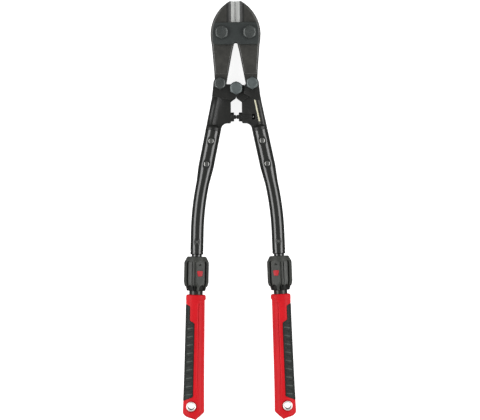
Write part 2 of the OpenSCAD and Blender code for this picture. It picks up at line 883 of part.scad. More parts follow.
module collet() {
    down_lower(collet_at) difference() {
        cylinder(d1 = sleeve_d - 1.4, d2 = sleeve_d + 1.2, h = collet_len);
        translate([0, 0, -cut]) cylinder(d = rod_d + 2 * run, h = collet_len + 2 * cut);
        for (turn = [0, 90]) rotate([0, 0, turn]) translate([-sleeve_d, -collet_slit / 2, -cut])
            cube([2 * sleeve_d, collet_slit, collet_len - 1.5 + cut]);
    }
}

module left_collet() {
    color([0.85, 0.83, 0.75]) on_side(left) collet();
}

module right_collet() {
    color([0.85, 0.83, 0.75]) on_side(right) collet();
}

// Split ring in the grip tube's groove, that keeps the collar on
module retaining_ring() {
    down_lower(ring_at) difference() {
        cylinder(d = ring_d, h = ring_t);
        translate([0, 0, -cut]) cylinder(d = ring_seat_d + 2 * run, h = ring_t + 2 * cut);
        translate([0, -1.5, -cut]) cube([ring_d, 3, ring_t + 2 * cut]);
    }
}

module left_retaining_ring() {
    color([0.45, 0.45, 0.44]) on_side(left) retaining_ring();
}

module right_retaining_ring() {
    color([0.45, 0.45, 0.44]) on_side(right) retaining_ring();
}

// Turns children to face the collar's front panel, which leans to the inner side
module panel_face() {
    rotate([0, 0, panel_turn]) children();
}

// Coloured mark, its place down the collar, and the flat panel that carries it
mark_w = 9;
mark_len = 8.5;
mark_t = 1;
mark_at = 19.8;
panel_r = collar_d / 2 - 0.9;
panel_w = 15;

module collar_shell() {
    difference() {
        rotate_extrude($fn = 96) polygon([
            [0, 0], [collar_top_d / 2, 0], [collar_d / 2, collar_chamfer],
            [collar_d / 2, collar_len - collar_taper], [collar_low_d / 2, collar_len], [0, collar_len]
        ]);
        for (i = [1 : collar_grooves - 1])
            rotate([0, 0, 90 + panel_turn + i * 360 / collar_grooves])
                translate([collar_d / 2 + groove_r - groove_depth, 0, collar_chamfer - 2])
                    cylinder(r = groove_r, h = collar_len - collar_taper - collar_chamfer + 4);
        panel_face() translate([-panel_w / 2, panel_r, collar_chamfer / 2])
            cube([panel_w, collar_d, collar_len]);
    }
}

module lock_collar() {
    down_lower(collar_at) difference() {
        collar_shell();
        translate([0, 0, -cut]) cylinder(d = rod_d + 1, h = collar_len);
        translate([0, 0, collar_lip]) cylinder(r = cavity_r, h = cavity_end - collar_at - collar_lip);
        translate([0, 0, collar_lip + cut]) cylinder(d = sleeve_d + 2 * run, h = collar_len);
        panel_face() mark_block(cut);
    }
}

// Coloured inlay in the collar's front panel
module mark_block(proud) {
    translate([-mark_w / 2, panel_r - mark_t, mark_at]) cube([mark_w, mark_t + proud, mark_len]);
}

module left_lock_collar() {
    color([0.29, 0.30, 0.28]) on_side(left) lock_collar();
}

module right_lock_collar() {
    color([0.29, 0.30, 0.28]) on_side(right) lock_collar();
}

module left_lock_mark() {
    color([0.82, 0.13, 0.14]) on_side(left) down_lower(collar_at) panel_face() mark_block(0);
}

module right_lock_mark() {
    color([0.82, 0.13, 0.14]) on_side(right) down_lower(collar_at) panel_face() mark_block(0);
}

// ---- Grips ----

// Length of the grip's rim, and height of the corner at its lower end
rim_len = 7;
corner_up = 10.1;

// Solid grip, made smaller by inset, before its bore and its recesses
module grip_blank(inset) {
    low_r = grip_low_d / 2 - inset;
    top_r = grip_top_d / 2 - inset;
    intersection() {
        rotate_extrude($fn = 96) polygon([
            [0, 0], [grip_rim_d / 2 - inset - 1, 0], [grip_rim_d / 2 - inset, 1],
            [grip_rim_d / 2 - inset, rim_len], [top_r, rim_len + 1], [top_r + 0.2, grip_len * 0.35],
            [top_r + 0.8, grip_len * 0.7], [low_r, grip_len - corner_up - 2],
            [low_r, grip_len], [0, grip_len]
        ]);
        translate([-grip_low_d, inset - grip_t / 2, 0]) cube([2 * grip_low_d, grip_t - 2 * inset, grip_len]);
        translate([0, grip_t, 0]) rotate([90, 0, 0]) linear_extrude(height = 2 * grip_t) polygon([
            [-grip_low_d, 0], [grip_low_d, 0], [low_r, grip_len - corner_up],
            [low_r - 2.5, grip_len - corner_up / 2 + 1.5], [low_r - 8, grip_len - 1], [1, grip_len],
            [-low_r, grip_len - corner_up], [-grip_low_d, grip_len - corner_up]
        ]);
    }
}

// Rim to the top of the inlay and to where it widens, and the height of its lower end
inlay_top = 15.3;
inlay_step = 37.2;
inlay_low = 35;

// Room for the rubber inlay on the outer side of the grip
module inlay_window() {
    edge = grip_top_d / 2;
    translate([0, grip_t, 0]) rotate([90, 0, 0]) linear_extrude(height = 2 * grip_t) polygon([
        [edge - inlay_top_w, inlay_top], [grip_low_d, inlay_top], [grip_low_d, grip_len - inlay_low + 8],
        [edge - inlay_w, grip_len - inlay_low], [edge - inlay_w, inlay_step + 4],
        [edge - inlay_top_w, inlay_step]
    ]);
}

// Thickness of the eyelet's flange and the clearance in front of it
flange_t = 1.4;

module grip() {
    difference() {
        down_lower(grip_at) difference() {
            grip_blank(0);
            difference() {
                inlay_window();
                grip_blank(inlay_t);
            }
            translate([0, 0, -cut]) cylinder(d = sleeve_d, h = sleeve_end - grip_at + cut);
        }
        eyelet_cut(eyelet_d + 2 * run, 2 * grip_t);
        for (face = [0, 1]) eyelet_axis() mirror([0, 0, face]) translate([0, 0, grip_t / 2 - flange_t])
            cylinder(d = recess_d, h = grip_t);
    }
}

module eyelet_axis() {
    down_lower(eyelet_at) translate([eyelet_shift, 0, 0]) rotate([90, 0, 0]) children();
}

module eyelet_cut(d, h) {
    eyelet_axis() cylinder(d = d, h = h, center = true);
}

module hang_eyelet() {
    difference() {
        union() {
            eyelet_cut(eyelet_d, grip_t - 1);
            for (face = [0, 1]) eyelet_axis() mirror([0, 0, face])
                translate([0, 0, grip_t / 2 - flange_t]) cylinder(d = recess_d - 1, h = flange_t - 0.5);
        }
        eyelet_cut(eyelet_bore_d, 2 * grip_t);
    }
}

module grip_inlay() {
    down_lower(grip_at) difference() {
        intersection() {
            grip_blank(0);
            inlay_window();
        }
        grip_blank(inlay_t);
    }
}

module left_grip() {
    color([0.80, 0.12, 0.14]) on_side(left) grip();
}

module right_grip() {
    color([0.80, 0.12, 0.14]) on_side(right) grip();
}

module left_grip_inlay() {
    color([0.22, 0.24, 0.23]) on_side(left) grip_inlay();
}

module right_grip_inlay() {
    color([0.22, 0.24, 0.23]) on_side(right) grip_inlay();
}

module left_hang_eyelet() {
    color([0.75, 0.76, 0.76]) on_side(left) hang_eyelet();
}

module right_hang_eyelet() {
    color([0.75, 0.76, 0.76]) on_side(right) hang_eyelet();
}

front_link_plate();
rear_link_plate();
left_jaw_bolt();
right_jaw_bolt();
left_jaw_nut();
right_jaw_nut();
left_jaw();
right_jaw();
left_yoke();
right_yoke();
left_tail_bolt();
right_tail_bolt();
left_tail_nut();
right_tail_nut();
centre_bolt();
centre_nut();
left_stop_screw();
right_stop_screw();
left_stop_nut();
right_stop_nut();
left_handle_tube();
right_handle_tube();
left_tube_rivets();
right_tube_rivets();
left_extension_rod();
right_extension_rod();
left_rod_pin();
right_rod_pin();
left_guide_bush();
right_guide_bush();
left_end_screw();
right_end_screw();
left_grip_tube();
right_grip_tube();
left_neck_bush();
right_neck_bush();
left_collet();
right_collet();
left_retaining_ring();
right_retaining_ring();
left_tube_plug();
right_tube_plug();
left_lock_collar();
right_lock_collar();
left_lock_mark();
right_lock_mark();
left_grip();
right_grip();
left_grip_inlay();
right_grip_inlay();
left_hang_eyelet();
right_hang_eyelet();
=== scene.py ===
"""Bolt cutters with telescoping handles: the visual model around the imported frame.

Shapes are worked out in millimetres in the frame's own axes and scaled to metres when a mesh is made.
A side is -1 for the left half of the tool and 1 for the right half, which mirror each other in X.
Out is away from the tool's middle, front is towards the camera, and down is towards the ends of the grips.
"""

import json
import math

import bmesh
import bpy
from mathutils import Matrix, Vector


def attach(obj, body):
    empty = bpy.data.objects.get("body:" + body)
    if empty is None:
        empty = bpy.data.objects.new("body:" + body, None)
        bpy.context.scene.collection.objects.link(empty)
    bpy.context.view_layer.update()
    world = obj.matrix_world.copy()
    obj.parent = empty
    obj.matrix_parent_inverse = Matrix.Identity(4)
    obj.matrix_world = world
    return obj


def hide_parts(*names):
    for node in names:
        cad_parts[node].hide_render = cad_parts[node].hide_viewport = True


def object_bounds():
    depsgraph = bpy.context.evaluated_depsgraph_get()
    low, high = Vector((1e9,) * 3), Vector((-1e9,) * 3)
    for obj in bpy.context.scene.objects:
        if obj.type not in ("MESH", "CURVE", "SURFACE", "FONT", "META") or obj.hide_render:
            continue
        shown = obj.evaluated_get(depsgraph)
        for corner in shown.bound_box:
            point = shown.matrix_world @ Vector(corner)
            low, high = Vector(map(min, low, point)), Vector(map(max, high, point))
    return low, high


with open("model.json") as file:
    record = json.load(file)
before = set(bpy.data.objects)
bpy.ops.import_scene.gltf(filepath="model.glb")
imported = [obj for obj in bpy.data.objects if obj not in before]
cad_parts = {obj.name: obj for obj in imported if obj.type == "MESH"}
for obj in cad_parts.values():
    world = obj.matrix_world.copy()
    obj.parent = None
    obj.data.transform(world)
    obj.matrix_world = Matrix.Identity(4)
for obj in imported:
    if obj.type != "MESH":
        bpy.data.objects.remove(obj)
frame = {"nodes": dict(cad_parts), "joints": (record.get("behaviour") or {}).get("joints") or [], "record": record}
cad_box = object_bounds()
nodes = frame["nodes"]
joints = {j["name"]: j for j in frame["joints"]}
scene = bpy.context.scene

MM = 0.001
SIDES = {"left": -1, "right": 1}


def radians(*values):
    return [math.radians(v) for v in values]


def smooth(low, high, x):
    """0 below low, 1 above high, and a smooth step between them."""
    t = min(1.0, max(0.0, (x - low) / (high - low)))
    return t * t * (3 - 2 * t)


def between(rise, fall, x):
    """1 between the rise and the fall, each a (low, high) pair, and 0 outside them."""
    return smooth(*rise, x) * (1 - smooth(*fall, x))


def along(points, x):
    """Straight-line interpolation in a list of (x, value)."""
    if x <= points[0][0]:
        return points[0][1]
    for (x0, v0), (x1, v1) in zip(points, points[1:]):
        if x <= x1:
            return v0 + (v1 - v0) * (x - x0) / (x1 - x0)
    return points[-1][1]


# ---- Places ----

JAW_X, JAW_Y, MID = [v / MM for v in joints["right_jaw_pivot"]["pos_m"]]
TAIL_X, TAIL_Y = [v / MM for v in joints["right_handle_pivot"]["pos_m"][:2]]
TIP_Y = cad_box[1][1] / MM
CENTRE_DROP = 7.2
CENTRE_Y = TAIL_Y - CENTRE_DROP

# The handle's two straight stretches: how far each leans outward, its length to where they would meet, and
# the radius of the bend between them
UPPER_LEAN = math.radians(11.75)
axis = joints["right_grip_slide"]["axis"]
LOWER_LEAN = math.atan2(axis[0], -axis[1])
UPPER_LEN, LOWER_LEN, BEND_R = 117.0, 66.7, 400.0
BEND = UPPER_LEAN - LOWER_LEAN
BEND_REACH = BEND_R * math.tan(BEND / 2)
BEND_START = UPPER_LEN - BEND_REACH

# How far the twist joint sits below the lower end of the handle tube
TWIST_DROP = 28
twist = [v / MM for v in joints["right_collar_twist"]["pos_m"]]
END_X = twist[0] - TWIST_DROP * math.sin(LOWER_LEAN)
END_Y = twist[1] + TWIST_DROP * math.cos(LOWER_LEAN)
# Upper end of the tube, and its length along the bend
TUBE_X = END_X - LOWER_LEN * math.sin(LOWER_LEAN) - UPPER_LEN * math.sin(UPPER_LEAN)
TUBE_Y = END_Y + LOWER_LEN * math.cos(LOWER_LEAN) + UPPER_LEN * math.cos(UPPER_LEAN)
TUBE_LEN = BEND_START + BEND_R * BEND + LOWER_LEN - BEND_REACH


def leaning(x, y, lean, side, out, front, down):
    """Point that lies out from a leaning line, to the front of it, and down it from (x, y)."""
    return (
        side * (x + out * math.cos(lean) + down * math.sin(lean)),
        y + out * math.sin(lean) - down * math.cos(lean),
        MID + front,
    )


def lower(side, out, front, down):
    """Point on the handle's lower stretch, down from the lower end of the tube."""
    return leaning(END_X, END_Y, LOWER_LEAN, side, out, front, down)


def from_lower(side, x, y, z):
    """The other way round: how far out, to the front and down a point in metres lies."""
    x, y = side * x / MM - END_X, y / MM - END_Y
    out = x * math.cos(LOWER_LEAN) + y * math.sin(LOWER_LEAN)
    down = x * math.sin(LOWER_LEAN) - y * math.cos(LOWER_LEAN)
    return out, z / MM - MID, down


def on_tube(side, out, front, down):
    """Point on the bent handle tube, down from its upper end."""
    turn = min(max((down - BEND_START) / BEND_R, 0.0), BEND)
    lean = UPPER_LEAN - turn
    x = TUBE_X - BEND_R * math.cos(UPPER_LEAN) + BEND_START * math.sin(UPPER_LEAN)
    y = TUBE_Y - BEND_R * math.sin(UPPER_LEAN) - BEND_START * math.cos(UPPER_LEAN)
    rest = down - BEND_START - turn * BEND_R
    return leaning(x, y, lean, side, BEND_R + out, front, rest)


# ---- Materials ----

EVEN = (1, 1, 1)
# A Mix node's sockets when it mixes colours, by number because those for numbers have the same names
MIX_FACTOR, MIX_A, MIX_B, MIX_RESULT = 0, 6, 7, 2


class Graph:
    """Nodes of one material, with short calls to add and join them."""

    def __init__(self, name):
        self.material = bpy.data.materials.new(name)
        self.material.use_nodes = True
        self.tree = self.material.node_tree
        self.shader = self.tree.nodes["Principled BSDF"]
        self.place = self.add("ShaderNodeTexCoord").outputs["Object"]

    def add(self, kind, **values):
        node = self.tree.nodes.new(kind)
        for key, value in values.items():
            if hasattr(node, key):
                setattr(node, key, value)
            else:
                node.inputs[key.replace("_", " ").title()].default_value = value
        return node

    def join(self, source, target):
        self.tree.links.new(source, target)

    def noise(self, scale, detail=4.0, rough=0.6, stretch=EVEN):
        mapping = self.add("ShaderNodeMapping")
        mapping.inputs["Scale"].default_value = stretch
        self.join(self.place, mapping.inputs["Vector"])
        noise = self.add("ShaderNodeTexNoise", scale=scale, detail=detail, roughness=rough)
        self.join(mapping.outputs["Vector"], noise.inputs["Vector"])
        return noise.outputs["Fac"]

    def spread(self, source, from_min, from_max, to_min, to_max):
        """Value scaled from one range to another, and held inside it."""
        node = self.add("ShaderNodeMapRange")
        values = {"From Min": from_min, "From Max": from_max, "To Min": to_min, "To Max": to_max}
        for key, value in values.items():
            node.inputs[key].default_value = value
        self.join(source, node.inputs["Value"])
        return node.outputs["Result"]

    def mix(self, factor, a, b):
        """Mix of two colours, each a tuple or another node's output."""
        node = self.add("ShaderNodeMix", data_type="RGBA")
        for socket, value in ((MIX_A, a), (MIX_B, b)):
            if isinstance(value, tuple):
                node.inputs[socket].default_value = (*value, 1)
            else:
                self.join(value, node.inputs[socket])
        self.join(factor, node.inputs[MIX_FACTOR])
        return node.outputs[MIX_RESULT]

    def times(self, a, b):
        node = self.add("ShaderNodeMath", operation="MULTIPLY")
        self.join(a, node.inputs[0])
        self.join(b, node.inputs[1])
        return node.outputs[0]


def surface(name, dark, light, rough, metallic=0.0, patch=60, spots=900, stretch=EVEN, bump=0.15,
            depth=0.0001, wear_and_highlight=None, wear_and_highlight_at=0.0006, specular=0.5, fine=2600):
    """Material with mottled colour, uneven gloss, a fine grain and, where an edge colour is given, lighter edges
    that are partly rubbed wear and partly a painted edge highlight.
    patch, spots and fine are noise scales per metre. depth and the width of the lighter edges are in metres."""
    g = Graph(name)
    broad = g.spread(g.noise(patch, stretch=stretch), 0.35, 0.65, 0, 1)
    colour = g.mix(broad, dark, light)
    brighter = tuple(min(1, c * 1.25 + 0.002) for c in light)
    speck = g.spread(g.noise(spots, 6, 0.7, stretch), 0.45, 0.75, 0, 0.6)
    colour = g.mix(speck, colour, brighter)
    # Lighter edges: partly rubbed wear, partly a painted edge highlight
    if wear_and_highlight:
        bevel = g.add("ShaderNodeBevel", samples=6)
        bevel.inputs["Radius"].default_value = wear_and_highlight_at
        # Near an edge the rounded normal turns away from the real one
        dot = g.add("ShaderNodeVectorMath", operation="DOT_PRODUCT")
        g.join(bevel.outputs["Normal"], dot.inputs[0])
        g.join(g.add("ShaderNodeNewGeometry").outputs["Normal"], dot.inputs[1])
        edge = g.spread(dot.outputs["Value"], 0.80, 0.985, 0.75, 0)
        patchy = g.spread(g.noise(160, 5, 0.7), 0.36, 0.62, 0.25, 1)
        colour = g.mix(g.times(edge, patchy), colour, wear_and_highlight)
    g.join(colour, g.shader.inputs["Base Color"])
    uneven = g.noise(spots * 0.5, 5, 0.65, stretch)
    g.join(g.spread(uneven, 0.3, 0.7, rough * 0.82, rough * 1.2), g.shader.inputs["Roughness"])
    node = g.add("ShaderNodeBump")
    node.inputs["Strength"].default_value = bump
    node.inputs["Distance"].default_value = depth
    g.join(g.noise(fine, 4, 0.6, stretch), node.inputs["Height"])
    g.join(node.outputs["Normal"], g.shader.inputs["Normal"])
    g.shader.inputs["Metallic"].default_value = metallic
    g.shader.inputs["Specular IOR Level"].default_value = specular
    return g.material


# Scales of the noise along X, Y and Z: the smaller, the longer the streaks on that axis
STREAKS_Y, RINGS_Y, RINGS_Y_SOFT = (1, 0.04, 1), (1, 6, 1), (1, 5, 1)
MATS = {
    "plate_steel": surface("plate_oxide", (0.017, 0.020, 0.020), (0.024, 0.028, 0.027), 0.42, patch=45,
                           bump=0.3, wear_and_highlight=(0.10, 0.11, 0.11), specular=0.4),
    "jaw_steel": surface("jaw_forged_oxide", (0.014, 0.0135, 0.0115), (0.030, 0.029, 0.025), 0.34, patch=90,
                         bump=0.6, depth=0.0002, fine=1300, wear_and_highlight=(0.20, 0.20, 0.185), wear_and_highlight_at=0.0009,
                         specular=0.6),
    "jaw_ground": surface("jaw_ground_bevel", (0.23, 0.235, 0.227), (0.31, 0.315, 0.305), 0.44, metallic=0.35,
                          patch=260, spots=700, stretch=STREAKS_Y, bump=0.12),
    "bolt_steel": surface("bolt_phosphate", (0.068, 0.080, 0.080), (0.095, 0.110, 0.110), 0.36, metallic=0.35,
                          patch=120, bump=0.3, wear_and_highlight=(0.30, 0.31, 0.31), wear_and_highlight_at=0.0005),
    "bolt_dark": surface("bolt_oiled", (0.037, 0.041, 0.040), (0.058, 0.063, 0.061), 0.27, metallic=0.35,
                         patch=120, bump=0.3, wear_and_highlight=(0.50, 0.51, 0.50), wear_and_highlight_at=0.0008),
    "yoke_steel": surface("yoke_black", (0.0055, 0.0055, 0.005), (0.011, 0.011, 0.010), 0.36, patch=60,
                          bump=0.4, depth=0.0002, fine=1300, wear_and_highlight=(0.09, 0.09, 0.085), wear_and_highlight_at=0.0008,
                          specular=0.36),
    # Pale cream for the strip on the right yoke's rib, a painted highlight
    "rib_highlight": surface("yoke_rib_painted_highlight", (0.40, 0.38, 0.26), (0.54, 0.52, 0.37), 0.42, patch=300, bump=0.2),
    "screw_steel": surface("screw_zinc", (0.42, 0.42, 0.41), (0.58, 0.58, 0.57), 0.30, metallic=1.0,
                           patch=200),
    "tube_paint": surface("tube_gloss_black", (0.0026, 0.0027, 0.0020), (0.0042, 0.0044, 0.0032), 0.2,
                          patch=40, bump=0.01, spots=300, fine=1200, specular=0.8),
    "rivet_steel": surface("rivet_black", (0.17, 0.17, 0.165), (0.23, 0.23, 0.22), 0.14, metallic=0.9,
                           patch=150, bump=0.05),
    "rod_steel": surface("rod_black_chrome", (0.05, 0.05, 0.05), (0.07, 0.07, 0.07), 0.17, metallic=0.9,
                         patch=90, stretch=RINGS_Y, bump=0.05),
    "sleeve_metal": surface("sleeve_anodised", (0.022, 0.021, 0.018), (0.032, 0.031, 0.027), 0.28,
                            metallic=0.6, patch=120, stretch=RINGS_Y_SOFT, bump=0.08),
    "bush_plastic": surface("bush_acetal", (0.62, 0.59, 0.48), (0.70, 0.67, 0.56), 0.5, patch=90),
    "plug_plastic": surface("plug_black", (0.02, 0.02, 0.02), (0.03, 0.03, 0.03), 0.55, patch=90),
    "collar_plastic": surface("collar_nylon", (0.022, 0.023, 0.020), (0.033, 0.0345, 0.030), 0.46, patch=80,
                              bump=0.5, depth=0.0002, fine=1700, wear_and_highlight=(0.085, 0.09, 0.08), wear_and_highlight_at=0.0005,
                              specular=0.4),
    "red_mark": surface("mark_red", (0.30, 0.006, 0.011), (0.38, 0.010, 0.017), 0.4, patch=200, bump=0.1,
                        specular=0.3),
    "grip_red": surface("grip_red_plastic", (0.42, 0.006, 0.010), (0.48, 0.0085, 0.0135), 0.46, patch=26,
                        bump=0.3, depth=0.00015, fine=1900, wear_and_highlight=(0.56, 0.03, 0.035), wear_and_highlight_at=0.0006,
                        specular=0.12),
    "grip_rubber": surface("grip_ribbed_rubber", (0.0065, 0.008, 0.0068), (0.011, 0.013, 0.0112), 0.62,
                           patch=70, bump=0.6, depth=0.0002, fine=1500, specular=0.3),
    # Lighter rubber for the tops of the ribs, a painted highlight
    "rubber_ridge_highlight": surface("grip_ridge_painted_highlight", (0.028, 0.033, 0.029), (0.045, 0.052, 0.046), 0.55,
                            patch=150, bump=0.4, depth=0.0001, fine=1500, specular=0.4),
    # Near black for the collar's recesses, a painted shade
    "collar_groove_shade": surface("collar_recess_painted_shade", (0.0035, 0.0036, 0.0032), (0.006, 0.0062, 0.0055), 0.6,
                             patch=90, bump=0.3, depth=0.0001, fine=1700, specular=0.2),
    "eyelet_steel": surface("eyelet_bright", (0.60, 0.585, 0.56), (0.70, 0.685, 0.66), 0.34, metallic=0.6,
                            patch=150, bump=0.05),
}

# The CAD nodes that stay visible get the material of their slot
slots = {part["node"]: part["material_slot"] for part in frame["record"]["subparts"]}
for name, ob in nodes.items():
    ob.data.materials.clear()
    ob.data.materials.append(MATS[slots[name]])

# ---- Mesh helpers ----


def object_of(name, verts, faces):
    mesh = bpy.data.meshes.new(name)
    mesh.from_pydata([(x * MM, y * MM, z * MM) for x, y, z in verts], [], faces)
    ob = bpy.data.objects.new(name, mesh)
    scene.collection.objects.link(ob)
    clean(ob)
    return ob


def clean(ob, sharp=35, triangles=False):
    """Merges equal points, takes out those in the middle of a straight edge, and turns normals outward.
    Edges where faces meet at more than sharp degrees stay sharp, and the rest is shaded smooth. With
    triangles, the slivers that a cut can leave folded on each other go too."""
    bm = bmesh.new()
    bm.from_mesh(ob.data)
    bmesh.ops.remove_doubles(bm, verts=bm.verts, dist=0.002 * MM)
    middles = []
    for vert in bm.verts:
        if len(vert.link_edges) == 2:
            a, b = (edge.other_vert(vert).co - vert.co for edge in vert.link_edges)
            if a.dot(b) < 0 and a.cross(b).length < 0.01 * MM * (a - b).length:
                middles.append(vert)
    bmesh.ops.dissolve_verts(bm, verts=middles)
    if triangles:
        bmesh.ops.triangulate(bm, faces=bm.faces)
        same = {}
        for face in bm.faces:
            same.setdefault(frozenset(face.verts), []).append(face)
        folded = [face for faces in same.values() if len(faces) > 1 for face in faces]
        bmesh.ops.delete(bm, geom=folded, context="FACES")
    bmesh.ops.recalc_face_normals(bm, faces=bm.faces)
    bm.to_mesh(ob.data)
    bm.free()
    ob.data.shade_smooth()
    ob.data.set_sharp_from_angle(angle=math.radians(sharp))


def loft(name, rings, wrap=False):
    """Solid through rings of equal length. The ends are capped, or with wrap the last ring joins the first
    one instead."""
    count = len(rings[0])
    verts = [p for ring in rings for p in ring]
    faces = []
    last = len(rings) if wrap else len(rings) - 1
    for i in range(last):
        a, b = i * count, ((i + 1) % len(rings)) * count
        for j in range(count):
            k = (j + 1) % count
            faces.append((a + j, a + k, b + k, b + j))
    if not wrap:
        faces.append(tuple(range(count - 1, -1, -1)))
        faces.append(tuple(range(len(verts) - count, len(verts))))
    return object_of(name, verts, faces)


def circle_of(steps):
    return [math.tau * j / steps for j in range(steps)]


def turned(name, rows, place, steps, wrap=False):
    """Turned solid. rows are (radius, height) pairs, where a radius is a number or a function of the turn,
    and place(x, y, height) gives the point."""
    rings = []
    turns = circle_of(steps)
    for radius, height in rows:
        reach = radius if callable(radius) else (lambda t, r=radius: r)
        rings.append([place(reach(t) * math.cos(t), reach(t) * math.sin(t), height) for t in turns])
    return loft(name, rings, wrap)


def cut(ob, *cutters):
    """Takes the cutters out of ob, and removes them."""
    for cutter in cutters:
        tool = ob.modifiers.new("cut", "BOOLEAN")
        tool.operation = "DIFFERENCE"
        tool.solver = "EXACT"
        tool.object = cutter
        bpy.context.view_layer.update()
        graph = bpy.context.evaluated_depsgraph_get()
        mesh = bpy.data.meshes.new_from_object(ob.evaluated_get(graph))
        ob.modifiers.clear()
        ob.data = mesh
        bpy.data.objects.remove(cutter)
    clean(ob, triangles=True)


def give(ob, body, slot, *stands_for, looks=()):
    """Hangs a piece on what it rides on and hides the CAD nodes that it stands for. Its materials are looks, or
    else the one that slot names."""
    ob.data.materials.clear()
    for look in looks or (slot,):
        ob.data.materials.append(MATS[look])
    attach(ob, body)
    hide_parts(*stands_for)
    return ob


def paint(ob, index, chosen):
    """Gives the faces that chosen picks another of the piece's materials."""
    for polygon in ob.data.polygons:
        if chosen(polygon):
            polygon.material_index = index


THROUGH = 20
HOLE_STEPS = 64


def drill(x, y, radius):
    """Cutter for a round hole through the whole head."""
    return turned("hole", [(radius, -THROUGH), (radius, THROUGH)],
                  lambda a, b, h: (x + a, y + b, MID + h), HOLE_STEPS)


def inset_outline(points, amount, weights):
    """Closed outline with each corner moved inward by amount times its weight."""
    area = sum(a[0] * b[1] - b[0] * a[1] for a, b in zip(points, points[1:] + points[:1]))
    sign = 1 if area > 0 else -1
    result = []
    for i, point in enumerate(points):
        p, a, b = Vector(point), Vector(points[i - 1]), Vector(points[(i + 1) % len(points)])
        d0, d1 = (p - a).normalized(), (b - p).normalized()
        n0, n1 = Vector((-d0.y, d0.x)) * sign, Vector((-d1.y, d1.x)) * sign
        n = (n0 + n1).normalized()
        n /= max(0.6, n.dot(n0))
        result.append(p + n * amount * weights[i])
    return result


def slab(name, outline, weights, levels, side=1):
    """Plate with shaped edges: levels are (height from the mid-plane, inset) pairs."""
    rings = [[(side * p[0], p[1], MID + z) for p in inset_outline(outline, d, weights)] for z, d in levels]
    return loft(name, rings)


def rounding(half, radius, count=5):
    """Levels of a slab from its front face to its back face, with rounded edges."""
    quarter = [(half - radius * (1 - math.cos(a)), radius * (1 - math.sin(a)))
               for a in (math.pi / 2 * k / (count - 1) for k in range(count))]
    return quarter + [(-z, d) for z, d in reversed(quarter)]


def arc(x, y, radius, start, end, count):
    """Points on an arc, from start to end in degrees."""
    angles = radians(*(start + (end - start) * k / count for k in range(count + 1)))
    return [(x + radius * math.cos(a), y + radius * math.sin(a)) for a in angles]


# ---- Head ----

JAW_HALF_W, JAW_ARC_R, ARC_DROP = 36.5, 57.0, 3.2
PLATE_HALF_W, PLATE_UP, PLATE_DOWN = 33.9, 14.4, 17.9
JAW_HALF_T, TAIL_HALF_T = 8.0, 7.0
# Heights of the plates' and the yoke ears' faces from the mid-plane
PLATE_IN, PLATE_OUT = 8.1, 13.1
EAR_OUT = 12.6
JAW_HOLE_R, TAIL_HOLE_R = 7.05, 5.55
# Middle of the arc that the outer edges of the right jaw and of the plates follow
ARC_X, ARC_Y = JAW_HALF_W - JAW_ARC_R, JAW_Y - ARC_DROP
NOTCH_R, PLATE_CORNER_R = 3.4, 5


def plate_outline():
    """From the notch in the lower edge up the right side, and down the left side."""
    low, top = JAW_Y - PLATE_DOWN, JAW_Y + PLATE_UP
    radius = JAW_ARC_R - (JAW_HALF_W - PLATE_HALF_W)
    end = math.degrees(math.asin((top - ARC_Y) / radius))
    half = arc(0, low, NOTCH_R, 90, 0, 8)
    half += arc(PLATE_HALF_W - PLATE_CORNER_R, low + PLATE_CORNER_R, PLATE_CORNER_R, -90, 0, 8)
    half += arc(ARC_X, ARC_Y, radius, 0, end - 1.2, 10)
    corner_x = ARC_X + radius * math.cos(math.radians(end))
    half += [(corner_x - 0.35, top - 0.25), (corner_x - 1.1, top)]
    return half + [(-x, y) for x, y in reversed(half[1:])]


outline = plate_outline()
PLATE_EDGE = [(PLATE_OUT, 1.0), (PLATE_OUT - 0.12, 0.5), (PLATE_OUT - 0.5, 0.12), (PLATE_OUT - 1.0, 0),
              (PLATE_IN + 0.2, 0), (PLATE_IN, 0.2)]
for face, name in ((1, "front"), (-1, "rear")):
    levels = [(face * z, inset) for z, inset in PLATE_EDGE]
    plate = slab(f"{name}_plate", outline, [1] * len(outline), levels)
    cut(plate, *(drill(s * JAW_X, JAW_Y, JAW_HOLE_R) for s in (-1, 1)))
    give(plate, "head", "plate_steel", f"{name}_link_plate")


# Half the gap between the jaws, and the widths of the bevel and of the ramp beside it
SEAM = 0.05
BEVEL_W, RAMP_W = 6.2, 12.9
TAIL_R = 9.2
JAW_ROUNDING = 3.8


def jaw_outline():
    """Corners of the right jaw, and each one's share of the edge rounding."""
    waist = JAW_Y - PLATE_DOWN
    top_angle = math.degrees(math.asin((TIP_Y - ARC_Y) / JAW_ARC_R))
    points = [((SEAM, JAW_Y), 0), ((SEAM, JAW_Y + PLATE_UP), 0), ((SEAM, TIP_Y), 0), ((BEVEL_W, TIP_Y), 0.1)]
    round_edge = arc(ARC_X, ARC_Y, JAW_ARC_R, top_angle, 0, 40)
    points += [(p, min(1, 0.15 + k / 8)) for k, p in enumerate(round_edge)]
    points += [((JAW_HALF_W - 0.5, JAW_Y - 11), 1), ((JAW_HALF_W - 1.6, waist), 0.9),
               ((TAIL_X + 8.3, TAIL_Y + 18.7), 0.8)]
    points += [(p, 0.4) for p in arc(TAIL_X, TAIL_Y, TAIL_R, 33, -170, 24)]
    points += [((TAIL_X - 10.2, TAIL_Y + 4), 0.5), ((5, waist - 8.6), 0.7), ((2.8, waist), 0.6)]
    return [p for p, _ in points], [w for _, w in points]


def prism(name, section, side, low, high):
    """Section in X and height, drawn out along Y."""
    return loft(name, [[(side * x, y, MID + z) for x, z in section] for y in (low, high)])


